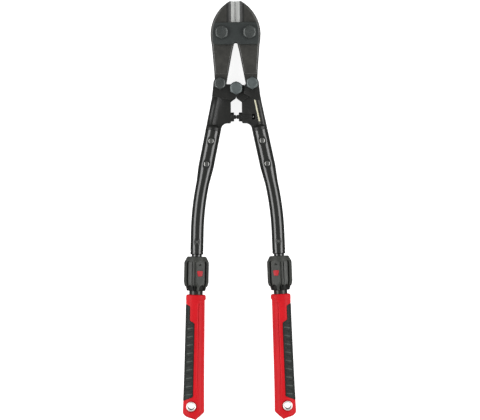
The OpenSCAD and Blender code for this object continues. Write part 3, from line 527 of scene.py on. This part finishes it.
# What is cut off each face, as (X, height): over the plate a bevel at the cutting edge and a ramp up to full
# thickness, and at the tail whatever stands over the yoke's slot
bevel_low = JAW_Y + PLATE_UP + 0.6
CLEAR = 16
GROUND = [(-1, 0.4), (0, 0.4), (BEVEL_W, 5), (RAMP_W, JAW_HALF_T), (RAMP_W + 1, CLEAR), (-1, CLEAR)]
THIN = [(0, TAIL_HALF_T), (80, TAIL_HALF_T), (80, CLEAR), (0, CLEAR)]


def on_edge(polygon):
    """Whether a face of a jaw is part of its bright bevel or of its cutting edge."""
    x, y = abs(polygon.center.x) / MM, polygon.center.y / MM
    bevel = 0.76 < abs(polygon.normal.z) < 0.85 and x < BEVEL_W + 0.1 and y > bevel_low
    return bevel or (x < 0.1 and y > JAW_Y)


def in_shaded_ramp(polygon):
    """Whether a face of a jaw is part of its ramp, which gets a darker material as painted shade."""
    x, y = abs(polygon.center.x) / MM, polygon.center.y / MM
    return 0.87 < abs(polygon.normal.z) < 0.95 and x < RAMP_W and y > bevel_low


for name, side in SIDES.items():
    points, weights = jaw_outline()
    jaw = slab(f"{name}_jaw_forging", points, weights, rounding(JAW_HALF_T, JAW_ROUNDING, 6), side)
    for face in (1, -1):
        cut(jaw, prism("bevel", [(x, face * z) for x, z in GROUND], side, bevel_low, TIP_Y + 1))
        cut(jaw, prism("tail", [(x, face * z) for x, z in THIN], side, TAIL_Y - 20, TAIL_Y + 14))
    cut(jaw, drill(side * JAW_X, JAW_Y, JAW_HOLE_R), drill(side * TAIL_X, TAIL_Y, TAIL_HOLE_R))
    give(jaw, f"{name}_jaw", "jaw_steel", f"{name}_jaw", looks=("jaw_steel", "jaw_ground", "yoke_steel"))
    # The ramp gets the darker yoke material as painted shade, and the bevel and the cutting edge get the ground
    # steel
    paint(jaw, 2, in_shaded_ramp)
    paint(jaw, 1, on_edge)


def hexagon_radius(turn, across):
    """Distance to the side of a hexagon that has flats at the left and right."""
    return across / 2 / math.cos(math.radians((math.degrees(turn) + 30) % 60 - 30))


def hex_rows(across, low, high, face_r):
    """Rows of a hexagonal block whose outer end is a domed chamfer around a round face."""
    steps, corner, fall = 9, 1.17, 2.7
    cone = [(face_r + (across / 2 * corner - face_r) * (k / steps) ** 0.85, high - fall * (k / steps) ** 1.25)
            for k in range(steps + 1)]
    return [(lambda t, r=r: min(r, hexagon_radius(t, across)), z) for r, z in cone] + [
        (lambda t: hexagon_radius(t, across), low + 0.25),
        (lambda t: hexagon_radius(t, across) - 0.3, low)]


# Width across flats, radii of the head's and the nut's round face and of the shoulder, and the height from
# the mid-plane that the head and the nut sit at
JAW_HEX = (18.2, 7.4, 6.9, 7.0, PLATE_OUT)
TAIL_HEX = (16.4, 6.4, 6.4, 5.5, EAR_OUT)
CENTRE_HEX = (17.3, 6.9, 6.9, 5.0, EAR_OUT)
THREAD_R, NUT_BORE_R = 4.0, 4.1
HEX_STEPS = 72


def bolt(name, x, y, size, body, look="bolt_steel"):
    """Head at the front, shoulder through the stack, and a thread that ends flush with its nut."""
    across, face_r, _, shoulder_r, stack = size
    rows = hex_rows(across, stack, MID, face_r)
    rows += [(shoulder_r, stack), (shoulder_r, -stack), (THREAD_R, -stack), (THREAD_R, -MID + 0.7),
             (THREAD_R - 0.6, -MID)]
    ob = turned(f"{name}_hex", rows, lambda a, b, h: (x + a, y + b, MID + h), HEX_STEPS)
    give(ob, body, "bolt_steel", name, looks=(look,))


def nut(name, x, y, size, body):
    """Nut at the back."""
    across, _, face_r, _, stack = size
    rows = hex_rows(across, stack, MID, face_r)
    rows += [(NUT_BORE_R, stack), (NUT_BORE_R, MID - 0.5), (4.6, MID)]
    ob = turned(f"{name}_hex", rows, lambda a, b, h: (x + a, y + b, MID - h), HEX_STEPS, wrap=True)
    give(ob, body, "bolt_steel", name)


for name, side in SIDES.items():
    body = f"{name}_handle"
    bolt(f"{name}_jaw_bolt", side * JAW_X, JAW_Y, JAW_HEX, "head", "bolt_dark")
    nut(f"{name}_jaw_nut", side * JAW_X, JAW_Y, JAW_HEX, "head")
    bolt(f"{name}_tail_bolt", side * TAIL_X, TAIL_Y, TAIL_HEX, body,
         "bolt_dark" if name == "left" else "bolt_steel")
    nut(f"{name}_tail_nut", side * TAIL_X, TAIL_Y, TAIL_HEX, body)
bolt("centre_bolt", 0, CENTRE_Y, CENTRE_HEX, "left_handle")
nut("centre_nut", 0, CENTRE_Y, CENTRE_HEX, "left_handle")


def soften(node, name, body, slot, width, looks=()):
    """Piece that is a copy of a CAD node with its sharp edges rounded by width, in millimetres."""
    bm = bmesh.new()
    bm.from_mesh(nodes[node].data)
    bmesh.ops.remove_doubles(bm, verts=bm.verts, dist=0.003 * MM)
    bmesh.ops.dissolve_limit(bm, angle_limit=math.radians(0.5), verts=bm.verts, edges=bm.edges)
    edges = [e for e in bm.edges if len(e.link_faces) == 2 and e.calc_face_angle(0) > math.radians(28)]
    bmesh.ops.bevel(bm, geom=edges, offset=width * MM, segments=2, profile=0.5, affect="EDGES",
                    clamp_overlap=True)
    mesh = bpy.data.meshes.new(name)
    bm.to_mesh(mesh)
    bm.free()
    ob = bpy.data.objects.new(name, mesh)
    scene.collection.objects.link(ob)
    clean(ob, 32)
    return give(ob, body, slot, node, looks=looks)


# How far out from the tool's middle the stop screws are dark. Only their outer ends are bright
SCREW_DARK_TO = 18
for name in SIDES:
    body = f"{name}_handle"
    soften(f"{name}_yoke", f"{name}_yoke_forging", body, "yoke_steel", 0.5)
    soften(f"{name}_stop_nut", f"{name}_stop_nut_hex", body, "yoke_steel", 0.9)
    screw = soften(f"{name}_stop_screw", f"{name}_stop_screw_rod", body, "screw_steel", 0.2,
                   looks=("screw_steel", "yoke_steel"))
    paint(screw, 1, lambda polygon: abs(polygon.center.x) < SCREW_DARK_TO * MM)

# Pale strip along the rounded rib of the right yoke, a painted highlight of the rib. Its top lies just over the
# rib and its bottom is sunk
# in it: how far off the rib, and the turns in degrees
RIB_R, RIB_OUT = 6.5, 4.65
STRIP_UP = range(12, 46, 3)
STRIP_TOP, STRIP_BOTTOM = (0.12, range(-34, -13, 4)), (-0.4, range(-14, -35, -4))


def strip_ring(up):
    """Section of the strip, up the yoke from the tube's upper end."""
    return [leaning(TUBE_X, TUBE_Y, UPPER_LEAN, 1, RIB_OUT + (RIB_R + lift) * math.sin(turn),
                    (RIB_R + lift) * math.cos(turn), -up)
            for lift, turns in (STRIP_TOP, STRIP_BOTTOM) for turn in radians(*turns)]


give(loft("right_rib_painted_highlight", [strip_ring(up) for up in STRIP_UP]), "right_handle", "yoke_steel",
     looks=("rib_highlight",))

# ---- Handle tubes ----

SOCKET_R, TUBE_R, WALL = 11.15, 9.45, 1.9
SOCKET_END, TAPER_END = 55, 79
# Places down the tube of the rivets, the rod's pin and the groove near the lower end
RIVETS = (16.2, 50.5)
PIN_AT = TUBE_LEN - 18.4
GROOVE_AT, GROOVE_W, GROOVE_DEPTH = TUBE_LEN - 4.6, 0.9, 0.35
# Around a rivet the tube is flat at FLAT_AT from its middle, with a dimple in the flat. The flat turns into
# the round between the two distances of FLAT_BLEND. The pin's dimple is an oval
FLAT_AT, FLAT_BLEND, DIMPLE_DEPTH, DIMPLE_W = 10.15, (4.5, 7), 0.55, 5
PIN_DEPTH, PIN_HALF_W, PIN_HALF_L, PIN_BLEND = 1.6, 4.2, 6.0, (0.45, 1.0)
TURNS = circle_of(96)
FINE_STEP = 0.7


def tube_radius(t):
    return along([(0, SOCKET_R), (SOCKET_END, SOCKET_R), (TAPER_END, TUBE_R), (TUBE_LEN, TUBE_R)], t)


def tube_point(side, turn, t):
    """Outside of the tube. turn goes from the front to the outer side, and the rivets and the pin sit in
    dimples."""
    radius = tube_radius(t) - GROOVE_DEPTH * math.exp(-((t - GROOVE_AT) / GROOVE_W) ** 2)
    out, front = radius * math.sin(turn), radius * math.cos(turn)
    for at in RIVETS:
        away = math.hypot(out, t - at)
        if away < 9:
            sunk = min(abs(front), FLAT_AT) - DIMPLE_DEPTH * math.exp(-((away / DIMPLE_W) ** 2))
            sunk += (abs(front) - sunk) * smooth(*FLAT_BLEND, away)
            front = math.copysign(sunk, front)
    if abs(out) < PIN_HALF_W:
        away = math.hypot(out / PIN_HALF_W, (t - PIN_AT) / PIN_HALF_L)
        front -= math.copysign(PIN_DEPTH * (1 - smooth(*PIN_BLEND, away)), front)
    return on_tube(side, out, front, t)


def stations(end, coarse, *fine):
    """Places from 0 to end, coarse apart, and FINE_STEP apart within each fine (low, high) stretch."""
    places = {round(k * end / math.ceil(end / coarse), 3) for k in range(math.ceil(end / coarse) + 1)}
    for low, high in fine:
        places |= {round(low + FINE_STEP * k, 3) for k in range(int((high - low) / FINE_STEP) + 1)}
    return sorted(places)


def tube_ring(side, radius, t):
    return [on_tube(side, radius * math.sin(a), radius * math.cos(a), t) for a in TURNS]


for name, side in SIDES.items():
    places = stations(TUBE_LEN - 1.2, 5, (8, 24.5), (42, 59), (PIN_AT - 7, PIN_AT + 7),
                      (TUBE_LEN - 8, TUBE_LEN - 2))
    # Down the outside from a rounded upper edge to a rounded lower one, and back up the inside
    rings = [tube_ring(side, SOCKET_R - 0.6, 0)]
    rings += [[tube_point(side, a, max(t, 0.5)) for a in TURNS] for t in places]
    rings += [tube_ring(side, TUBE_R - 0.25, TUBE_LEN - 0.7), tube_ring(side, TUBE_R - 1.3, TUBE_LEN)]
    rings += [tube_ring(side, tube_radius(t) - WALL, t) for t in reversed(stations(TUBE_LEN, 8))]
    tube = loft(f"{name}_tube_shell", rings, wrap=True)
    give(tube, f"{name}_handle", "tube_paint", f"{name}_handle_tube")

# A rivet's shank and domed head, as (radius, height from the tube's middle)
SHANK_R, HEAD_R, HEAD_AT, DOME = 2.75, 3.95, 9.95, 1.2
RIVET = [(0.4, 0.5), (SHANK_R, 0.5), (SHANK_R, 9.6), (HEAD_R, 9.65)]
RIVET += [(HEAD_R * math.cos(a), HEAD_AT + DOME * math.sin(a)) for a in radians(*range(0, 90, 10))]
for name, side in SIDES.items():
    parts = []
    for at in RIVETS:
        for face in (1, -1):
            parts.append(turned(f"{name}_rivet", RIVET,
                                lambda a, b, h, at=at, face=face: on_tube(side, a, face * h, at + b), 40))
    with bpy.context.temp_override(active_object=parts[0], object=parts[0], selected_objects=parts,
                                   selected_editable_objects=parts):
        bpy.ops.object.join()
    parts[0].name = f"{name}_rivet_heads"
    give(parts[0], f"{name}_handle", "rivet_steel", f"{name}_tube_rivets")

# ---- Locking collars ----

COLLAR_AT, COLLAR_LEN, COLLAR_R, COLLAR_TOP_R, COLLAR_LOW_R = 3.1, 49.9, 18.1, 13.75, 15.0
CHAMFER, TAPER = 8.0, 12.0
COLLAR_PROFILE = [(0, COLLAR_TOP_R), (CHAMFER, COLLAR_R - 0.25), (CHAMFER + 1.2, COLLAR_R),
                  (COLLAR_LEN - TAPER - 1, COLLAR_R), (COLLAR_LEN - TAPER + 0.6, COLLAR_R - 0.3),
                  (COLLAR_LEN - 0.8, COLLAR_LOW_R + 0.2), (COLLAR_LEN, COLLAR_LOW_R - 0.5)]
# Radius and place down the collar of its lower face, its bore, the hollow for the collet, and its upper lip
COLLAR_INSIDE = [(10.4, COLLAR_LEN), (9.95, COLLAR_LEN - 0.5), (9.95, 20.9), (11.4, 20.9), (11.4, 3.0),
                 (7.95, 3.0), (7.95, 0.4), (8.3, 0)]
# Turns are in degrees from the front to the inner side: the middle of the flat panel, the grooves, and the
# two ends of each arch at the lower edge. A groove's wall lies between the two turns of its edge
PANEL_AT, PANEL_R, PANEL_REACH = 19.0, 17.2, 40
DEEP_GROOVES, DEEP_EDGE = (-46, 50, 92, 134, 176, 218, 262), (3.0, 6.0)
FINE_GROOVES, FINE_EDGE = (-18.6, -5.6), (0.6, 2.6)
ARCHES = ((-44, -20.5), (-17, -7.5), (-4, 5), (18.5, 47.5), (52.5, 89.5), (94.5, 131.5), (136.5, 173.5),
          (178.5, 215.5), (220.5, 259.5), (264.5, 311.5))
ARROW_DEPTH, DEEP, FINE, ARCH_DEPTH = 0.9, 2.5, 1.0, 2.4
# Places down the collar of the arrow's tip and its two ends, and of the arches' tops
ARROW_TIP, ARROW_FROM, ARROW_TO, ARCH_TOP = 11, (10.2, 10.8), (12.2, 12.8), 41.0
COLLAR_TURNS = [360 * j / 240 for j in range(240)]
COLLAR_ROWS, ROUNDED = 62, 0.45


def turn_from(at, turn):
    """Degrees from one turn to another, the shorter way round."""
    return (turn - at + 180) % 360 - 180


def collar_shape(turn, c):
    """Radius of the collar and how deep it is cut there, at a turn and c mm down it."""
    radius = along(COLLAR_PROFILE, c)
    depth = 0.0
    aside = turn_from(PANEL_AT, turn)
    if abs(aside) < PANEL_REACH:
        flat = PANEL_R / math.cos(math.radians(aside))
        radius = min(radius, flat + 3 * (1 - smooth(3, 6, c)))
        aside_mm = radius * math.sin(math.radians(aside))
        # The arrow widens from its tip down to a straight end
        dent = smooth(*ARROW_FROM, c) * (1 - smooth(*ARROW_TO, c))
        depth += ARROW_DEPTH * (dent * (1 - smooth(0.6, 1.1, abs(aside_mm) - (c - ARROW_TIP))))
    fade = smooth(CHAMFER - 2.5, CHAMFER + 0.5, c)
    for at in DEEP_GROOVES:
        depth += DEEP * fade * (1 - smooth(*DEEP_EDGE, abs(turn_from(at, turn))))
    for at in FINE_GROOVES:
        depth += FINE * fade * (1 - smooth(*FINE_EDGE, abs(turn_from(at, turn))))
    for low, high in ARCHES:
        u = turn_from((low + high) / 2, turn) / ((high - low) / 2)
        if abs(u) < 1:
            start = ARCH_TOP + 3.0 * u * u
            depth = max(depth, ARCH_DEPTH * smooth(start, start + 0.9, c) * (1 - abs(u) ** 8))
    return radius, depth


def collar_ring(side, c, reach):
    """Ring c mm down the collar, where reach(turn) is its radius."""
    points = []
    for turn in COLLAR_TURNS:
        radius, a = reach(turn), math.radians(turn)
        points.append(lower(side, -radius * math.sin(a), radius * math.cos(a), COLLAR_AT + c))
    return points


def cut_radius(turn, c):
    """Radius of the collar with its grooves, arches and arrow cut."""
    radius, depth = collar_shape(turn, c)
    return radius - depth


def panel_point(side, x, y, h):
    """x across the flat panel to the inner side, y down the collar, h from the panel."""
    a = math.radians(PANEL_AT)
    reach = PANEL_R + h
    return lower(side, -(reach * math.sin(a) + x * math.cos(a)), reach * math.cos(a) - x * math.sin(a),
                 COLLAR_AT + y)


MARK_AT, MARK_HALF_W, MARK_HALF_L, MARK_CORNER_R, MARK_NARROWS = 24.4, 4.5, 4.0, 1.5, 0.78


def mark(name, side, grow, low, high):
    """Rounded mark on the panel, narrower at its lower end, between two heights from the panel."""
    half_w, half_l, radius = MARK_HALF_W + grow, MARK_HALF_L + grow, MARK_CORNER_R
    shape = []
    for cx, cy, start in ((1, -1, -90), (1, 1, 0), (-1, 1, 90), (-1, -1, 180)):
        lean = MARK_NARROWS if cy > 0 else 1.0
        shape += [(cx * (half_w * lean - radius) + p[0], cy * (half_l - radius) + p[1] + MARK_AT)
                  for p in arc(0, 0, radius, start, start + 90, 6)]
    rows = [(low, 0), (high - 0.35, 0), (high - 0.1, 0.2), (high, 0.6)]
    return loft(name, [[panel_point(side, *p, h) for p in inset_outline(shape, d, [1] * len(shape))]
                       for h, d in rows])


def in_groove(side, polygon):
    """Whether a face of a collar lies at the bottom of a groove, an arch or the arrow."""
    out, front, down = from_lower(side, *polygon.center)
    c = down - COLLAR_AT
    if not 1 < c < COLLAR_LEN - 0.2:
        return False
    radius, depth = collar_shape(math.degrees(math.atan2(-out, front)), c)
    return depth > 0.55 and math.hypot(out, front) > radius - depth - 0.7


for name, side in SIDES.items():
    rings = [collar_ring(side, 0, lambda turn: COLLAR_TOP_R - 0.7)]
    for k in range(COLLAR_ROWS + 1):
        c = ROUNDED + (COLLAR_LEN - ROUNDED) * k / COLLAR_ROWS
        rings.append(collar_ring(side, c, lambda turn, c=c: cut_radius(turn, c)))
    rings += [collar_ring(side, c, lambda turn, r=r: r) for r, c in COLLAR_INSIDE]
    collar = loft(f"{name}_collar_shell", rings, wrap=True)
    cut(collar, mark("pocket", side, 0.25, -0.95, 2.0))
    give(collar, f"{name}_collar", "collar_plastic", f"{name}_lock_collar",
         looks=("collar_plastic", "collar_groove_shade"))
    # Faces at the bottom of the grooves, the arches and the arrow get the near-black material as painted shade
    paint(collar, 1, lambda polygon, side=side: in_groove(side, polygon))
    give(mark(f"{name}_mark_inlay", side, 0, -0.93, 0.05), f"{name}_collar", "red_mark", f"{name}_lock_mark")

# ---- Grips ----

GRIP_AT, GRIP_LEN = 58.6, 182.4
RIM_END, CORNER = 8, 172.3
# Power of the rounded-square section: 2 is an ellipse, and more is squarer
POWER = 2.5
# Profiles down the grip, as (place, distance from the bore's axis): its outer side, inner side and faces
RIM = [(0, 12.4), (0.5, 13.5), (1.2, 14.1), (2.4, 14.45)]
OUTER_W = RIM + [
    (7, 14.5), (8, 14.2), (40, 14.2), (56, 14.3), (109, 14.6), (135, 14.9), (166, 15.6), (171.6, 15.8),
    (173.6, 15.3), (175.5, 14.1), (178, 11.4), (179.4, 7.4), (180.5, 2.6), (181.5, -0.8), (GRIP_LEN, -2.4)]
INNER_W = RIM + [
    (6.6, 14.5), (7.8, 13.1), (40, 13.5), (56, 13.7), (109, 14.3), (135, 14.7), (166, 15.5), (170.6, 15.8),
    (171.8, 15.2), (175.9, 11.1), (180.6, 5.9), (181.7, 4.6), (GRIP_LEN, 3.4)]
HALF_T = [
    (0, 11.9), (0.5, 12.9), (1.2, 13.4), (2.4, 13.7), (7, 13.75), (8, 13.3), (110, 13.45), (CORNER, 13.6),
    (178, 13.2), (181.5, 12.3), (GRIP_LEN, 11.4)]
# The panel and the crease on the inner half of each face. Their edges are shares of the half width
PANEL_LIFT, PANEL_EDGES = 1.1, ((0.36, 0.46), (0.84, 0.99))
CREASE_DEPTH, CREASE_EDGES = 1.0, ((0.24, 0.31), (0.31, 0.38))


def grip_middle(g):
    """Middle and half width of the grip's section."""
    outer, inner = along(OUTER_W, g), along(INNER_W, g)
    return (outer - inner) / 2, (outer + inner) / 2


def grip_point(turn, g, lift=0.0):
    """(out, front) on the grip's outside or lifted off it, at a turn in radians from the front to the outer
    side."""
    s, c = math.sin(turn), math.cos(turn)
    middle, half = grip_middle(g)
    thick = along(HALF_T, g)
    out = half * math.copysign(abs(s) ** (2 / POWER), s)
    front = thick * math.copysign(abs(c) ** (2 / POWER), c)
    across = out / half
    if across < 0 and RIM_END < g < CORNER:
        start = 11.5 + 2.2 * (1 - smooth(-0.92, -0.38, across))
        fade = smooth(start, start + 1.3, g) * (1 - 0.75 * smooth(120, 160, g))
        panel = PANEL_LIFT * between(*PANEL_EDGES, -across)
        crease = CREASE_DEPTH * between(*CREASE_EDGES, -across)
        front += math.copysign(fade * (panel - crease), front)
    normal = Vector((s / half, c / thick)).normalized()
    return out + middle + normal.x * lift, front + normal.y * lift


# The eyelet sits this far above the grip's end and out from its middle. The bore ends short of its boss
EYE_UP, EYE_OUT, EYE_BOSS_R, BORE_GAP = 19.6, 3.5, 8.5, 2.5
EYE_AT = GRIP_AT + GRIP_LEN - EYE_UP
BORE_END = GRIP_LEN - EYE_UP - EYE_BOSS_R - BORE_GAP
BORE_R = 9.86

# Edge of the inlay on the grip's faces, as (place down the grip, how far out)
INLAY = [(14.4, 13.6), (15.4, 11.0), (16.6, 9.1), (18.2, 8.4), (36.6, 8.4), (38.2, 7.4), (40.0, 3.6),
         (41.6, 1.9), (43.4, 1.4), (147.6, 1.4), (149.2, 2.2), (153.6, 13.0), (154.6, 14.4)]
INLAY_TOP, INLAY_LOW = INLAY[0][0], INLAY[-1][0]
FIRST_RIB, RIB_PITCH, RIB_SLANT = 50.5, 12.1, 0.22
RIBS_FROM, RIBS_TO = (42.5, 45), (144.5, 147)
RIB_LIFT, RIB_GROOVE, EDGE_FALL = 0.55, 0.9, 0.35
PATCH_STEPS = 40


def rib(g, inward):
    """How much of a ridge and of a groove there is at a place down the grip and inward of its outer side."""
    phase = ((g - FIRST_RIB + RIB_SLANT * inward) / RIB_PITCH) % 1.0
    ridge = 1 - smooth(0.05, 0.11, min(phase, 1 - phase))
    return ridge, 1 - smooth(0.04, 0.11, abs(phase - 0.45))


def relief(g, inward, j):
    """How far the ribs stand off the inlay, at point j of its width."""
    ridge, groove = rib(g, inward)
    inside = smooth(*RIBS_FROM, g + 0.2 * inward) * (1 - smooth(*RIBS_TO, g))
    inside *= smooth(0.03, 0.09, j / PATCH_STEPS) * smooth(0.03, 0.09, 1 - j / PATCH_STEPS)
    inside *= smooth(1.5, 3.5, inward)
    return (RIB_LIFT * ridge - RIB_GROOVE * groove) * inside


def inlay_patch(name, side, grow, deep, high, ribbed):
    """Band around the outer side, from its edge at the front to its edge at the back. It goes deep below the
    grip's surface and high above it, and grow makes it wider."""
    rings = []
    low, end = INLAY_TOP - grow, INLAY_LOW + grow
    count = int((end - low) / (0.6 if ribbed else 1.0))
    for k in range(count + 1):
        g = low + (end - low) * k / count
        outer = along(OUTER_W, g)
        middle, half = grip_middle(g)
        share = (min(along(INLAY, g), outer - 0.35) - grow - middle) / half
        edge = math.asin(min(0.999, max(0.0, share)) ** (POWER / 2)) if share > 0 else 0.0
        top, bottom = [], []
        for j in range(PATCH_STEPS + 1):
            turn = edge + (math.pi - 2 * edge) * j / PATCH_STEPS
            lift = high
            if ribbed:
                out, _ = grip_point(turn, g)
                lift += relief(g, outer - out, j)
                lift -= EDGE_FALL * (1 - smooth(0.0, 0.03, min(j, PATCH_STEPS - j) / PATCH_STEPS))
            top.append(lower(side, *grip_point(turn, g, lift), GRIP_AT + g))
            bottom.append(lower(side, *grip_point(turn, g, -deep), GRIP_AT + g))
        rings.append(top + bottom[::-1])
    return loft(name, rings)


def on_ridge(side, polygon):
    """Whether a face of the inlay is on top of a rib."""
    out, _, down = from_lower(side, *polygon.center)
    g = down - GRIP_AT
    inward = along(OUTER_W, g) - out
    return 44.5 < g < 146 and inward > 2.6 and out > along(INLAY, g) + 0.9 and rib(g, inward)[0] > 0.6


def at_eye(side):
    return lambda a, b, h: lower(side, EYE_OUT + a, h, EYE_AT + b)


# Places of the grip's rings, which lie close at its rim, at the start of the panel and at its lower end
GRIP_PLACES = sorted({0.0, 0.2, 0.5, 0.8, 1.2, 1.7, 2.4, 4.0, 6.6, 7.0, 7.4, 7.8, 8.2, 181.4, 181.9, GRIP_LEN}
                     | {9 + 0.7 * k for k in range(16)} | {22.0 + 4 * k for k in range(38)}
                     | {CORNER + 0.9 * k for k in range(11)})
# Turned parts of the eyelet as (radius, height): the recess in each face, the hole, and one rolled lip
RECESS = [(8.4, 11.6), (8.6, 12.9), (8.9, 13.4), (9.3, 16)]
EYE_HOLE = [(6.98, -16), (6.98, 16)]
LIP = [(6.95, 11.55), (7.0, 12.7), (6.9, 13.2), (6.5, 13.5), (6.0, 13.6), (5.5, 13.45), (5.15, 13.1),
       (5.0, 12.5)]
EYELET = LIP + [(r, -h) for r, h in reversed(LIP)]
EYE_STEPS = 64
around = circle_of(128)
for name, side in SIDES.items():
    rings = []
    for radius, g in ((BORE_R, BORE_END), (BORE_R, 1.0), (10.3, 0.0)):
        rings.append([lower(side, radius * math.sin(a), radius * math.cos(a), GRIP_AT + g) for a in around])
    for g in GRIP_PLACES:
        rings.append([lower(side, *grip_point(a, g), GRIP_AT + g) for a in around])
    grip = loft(f"{name}_grip_shell", rings)
    cut(grip, inlay_patch("pocket", side, 0.7, 2.0, 3.0, False))
    for face in (1, -1):
        cut(grip, turned("recess", [(r, face * h) for r, h in RECESS], at_eye(side), EYE_STEPS))
    cut(grip, turned("hole", EYE_HOLE, at_eye(side), EYE_STEPS))
    give(grip, f"{name}_grip", "grip_red", f"{name}_grip")
    inlay = inlay_patch(f"{name}_inlay_ribs", side, 0.0, 1.95, 0.25, True)
    give(inlay, f"{name}_grip", "grip_rubber", f"{name}_grip_inlay", looks=("grip_rubber", "rubber_ridge_highlight"))
    # The tops of the ribs get the lighter rubber as a painted highlight
    paint(inlay, 1, lambda polygon, side=side: on_ridge(side, polygon))
    eyelet = turned(f"{name}_eyelet_ring", EYELET, at_eye(side), EYE_STEPS, wrap=True)
    give(eyelet, f"{name}_grip", "eyelet_steel", f"{name}_hang_eyelet")

# ---- Floor, light and camera ----


def plain(name, colour, rough, glow):
    """Dull material of the studio, with a faint mottle and some light of its own."""
    g = Graph(name)
    g.join(g.mix(g.noise(3), tuple(c * 0.99 for c in colour), colour), g.shader.inputs["Base Color"])
    g.shader.inputs["Roughness"].default_value = rough
    g.shader.inputs["Specular IOR Level"].default_value = 0.0
    g.shader.inputs["Emission Color"].default_value = (1, 1, 1, 1)
    g.shader.inputs["Emission Strength"].default_value = glow
    return g.material


FAR = 15000
floor = object_of("floor", [(-FAR, -FAR, 0), (FAR, -FAR, 0), (FAR, FAR, 0), (-FAR, FAR, 0)], [(0, 1, 2, 3)])
floor.data.materials.append(plain("floor_pale", (0.6, 0.6, 0.6), 0.9, 0.85))
# Just under the lowest faces of the tool, so that none lies in the floor
floor.location.z = -0.0002
floor.visible_glossy = False


LIGHT_W, LIGHT_LEN, LIGHT_WATTS = 0.8, 2.4, 27
LIGHT_AWAY, LIGHT_LEAN = 1.4, math.radians(54)


def strip_light(name, side):
    """Soft light along the tool's length, leaning in from one side."""
    light = bpy.data.lights.new(name, "AREA")
    light.shape = "RECTANGLE"
    light.size, light.size_y = LIGHT_W, LIGHT_LEN
    light.energy = LIGHT_WATTS
    ob = bpy.data.objects.new(name, light)
    scene.collection.objects.link(ob)
    ob.location = (side * LIGHT_AWAY * math.sin(LIGHT_LEAN), 0, LIGHT_AWAY * math.cos(LIGHT_LEAN))
    ob.rotation_euler = (0, side * LIGHT_LEAN, 0)


strip_light("strip_left", -1)
strip_light("strip_right", 1)

# A dim sky, a little darker at the horizon
world = bpy.data.worlds.new("studio")
scene.world = world
world.use_nodes = True
tree = world.node_tree
background = tree.nodes["Background"]
split = tree.nodes.new("ShaderNodeSeparateXYZ")
tree.links.new(tree.nodes.new("ShaderNodeTexCoord").outputs["Generated"], split.inputs[0])
ramp = tree.nodes.new("ShaderNodeValToRGB")
tree.links.new(split.outputs["Z"], ramp.inputs["Fac"])
tree.links.new(ramp.outputs["Color"], background.inputs["Color"])
SKY = ((0.0, (0.16, 0.165, 0.165, 1)), (0.35, (0.36, 0.37, 0.37, 1)))
for stop, (position, colour) in zip(ramp.color_ramp.elements, SKY):
    stop.position, stop.color = position, colour
background.inputs["Strength"].default_value = 1.0

# The camera looks straight down on the tool, which is turned a little in the picture. The picture is FRAME_W
# metres wide at the tool's middle
SENSOR_W, CAMERA_AWAY, FRAME_W = 36, 3.5, 0.701
CAMERA_X, CAMERA_Y, CAMERA_TURN = 0.0038, 0.0002, -0.594
camera_data = bpy.data.cameras.new("camera")
camera = bpy.data.objects.new("camera", camera_data)
scene.collection.objects.link(camera)
camera_data.sensor_width = SENSOR_W
camera_data.lens = SENSOR_W * CAMERA_AWAY / FRAME_W
camera_data.clip_end = 100
camera.location = (CAMERA_X, CAMERA_Y, MID * MM + CAMERA_AWAY)
camera.rotation_euler = (0, 0, math.radians(CAMERA_TURN))
scene.camera = camera
scene.view_settings.view_transform = "Standard"
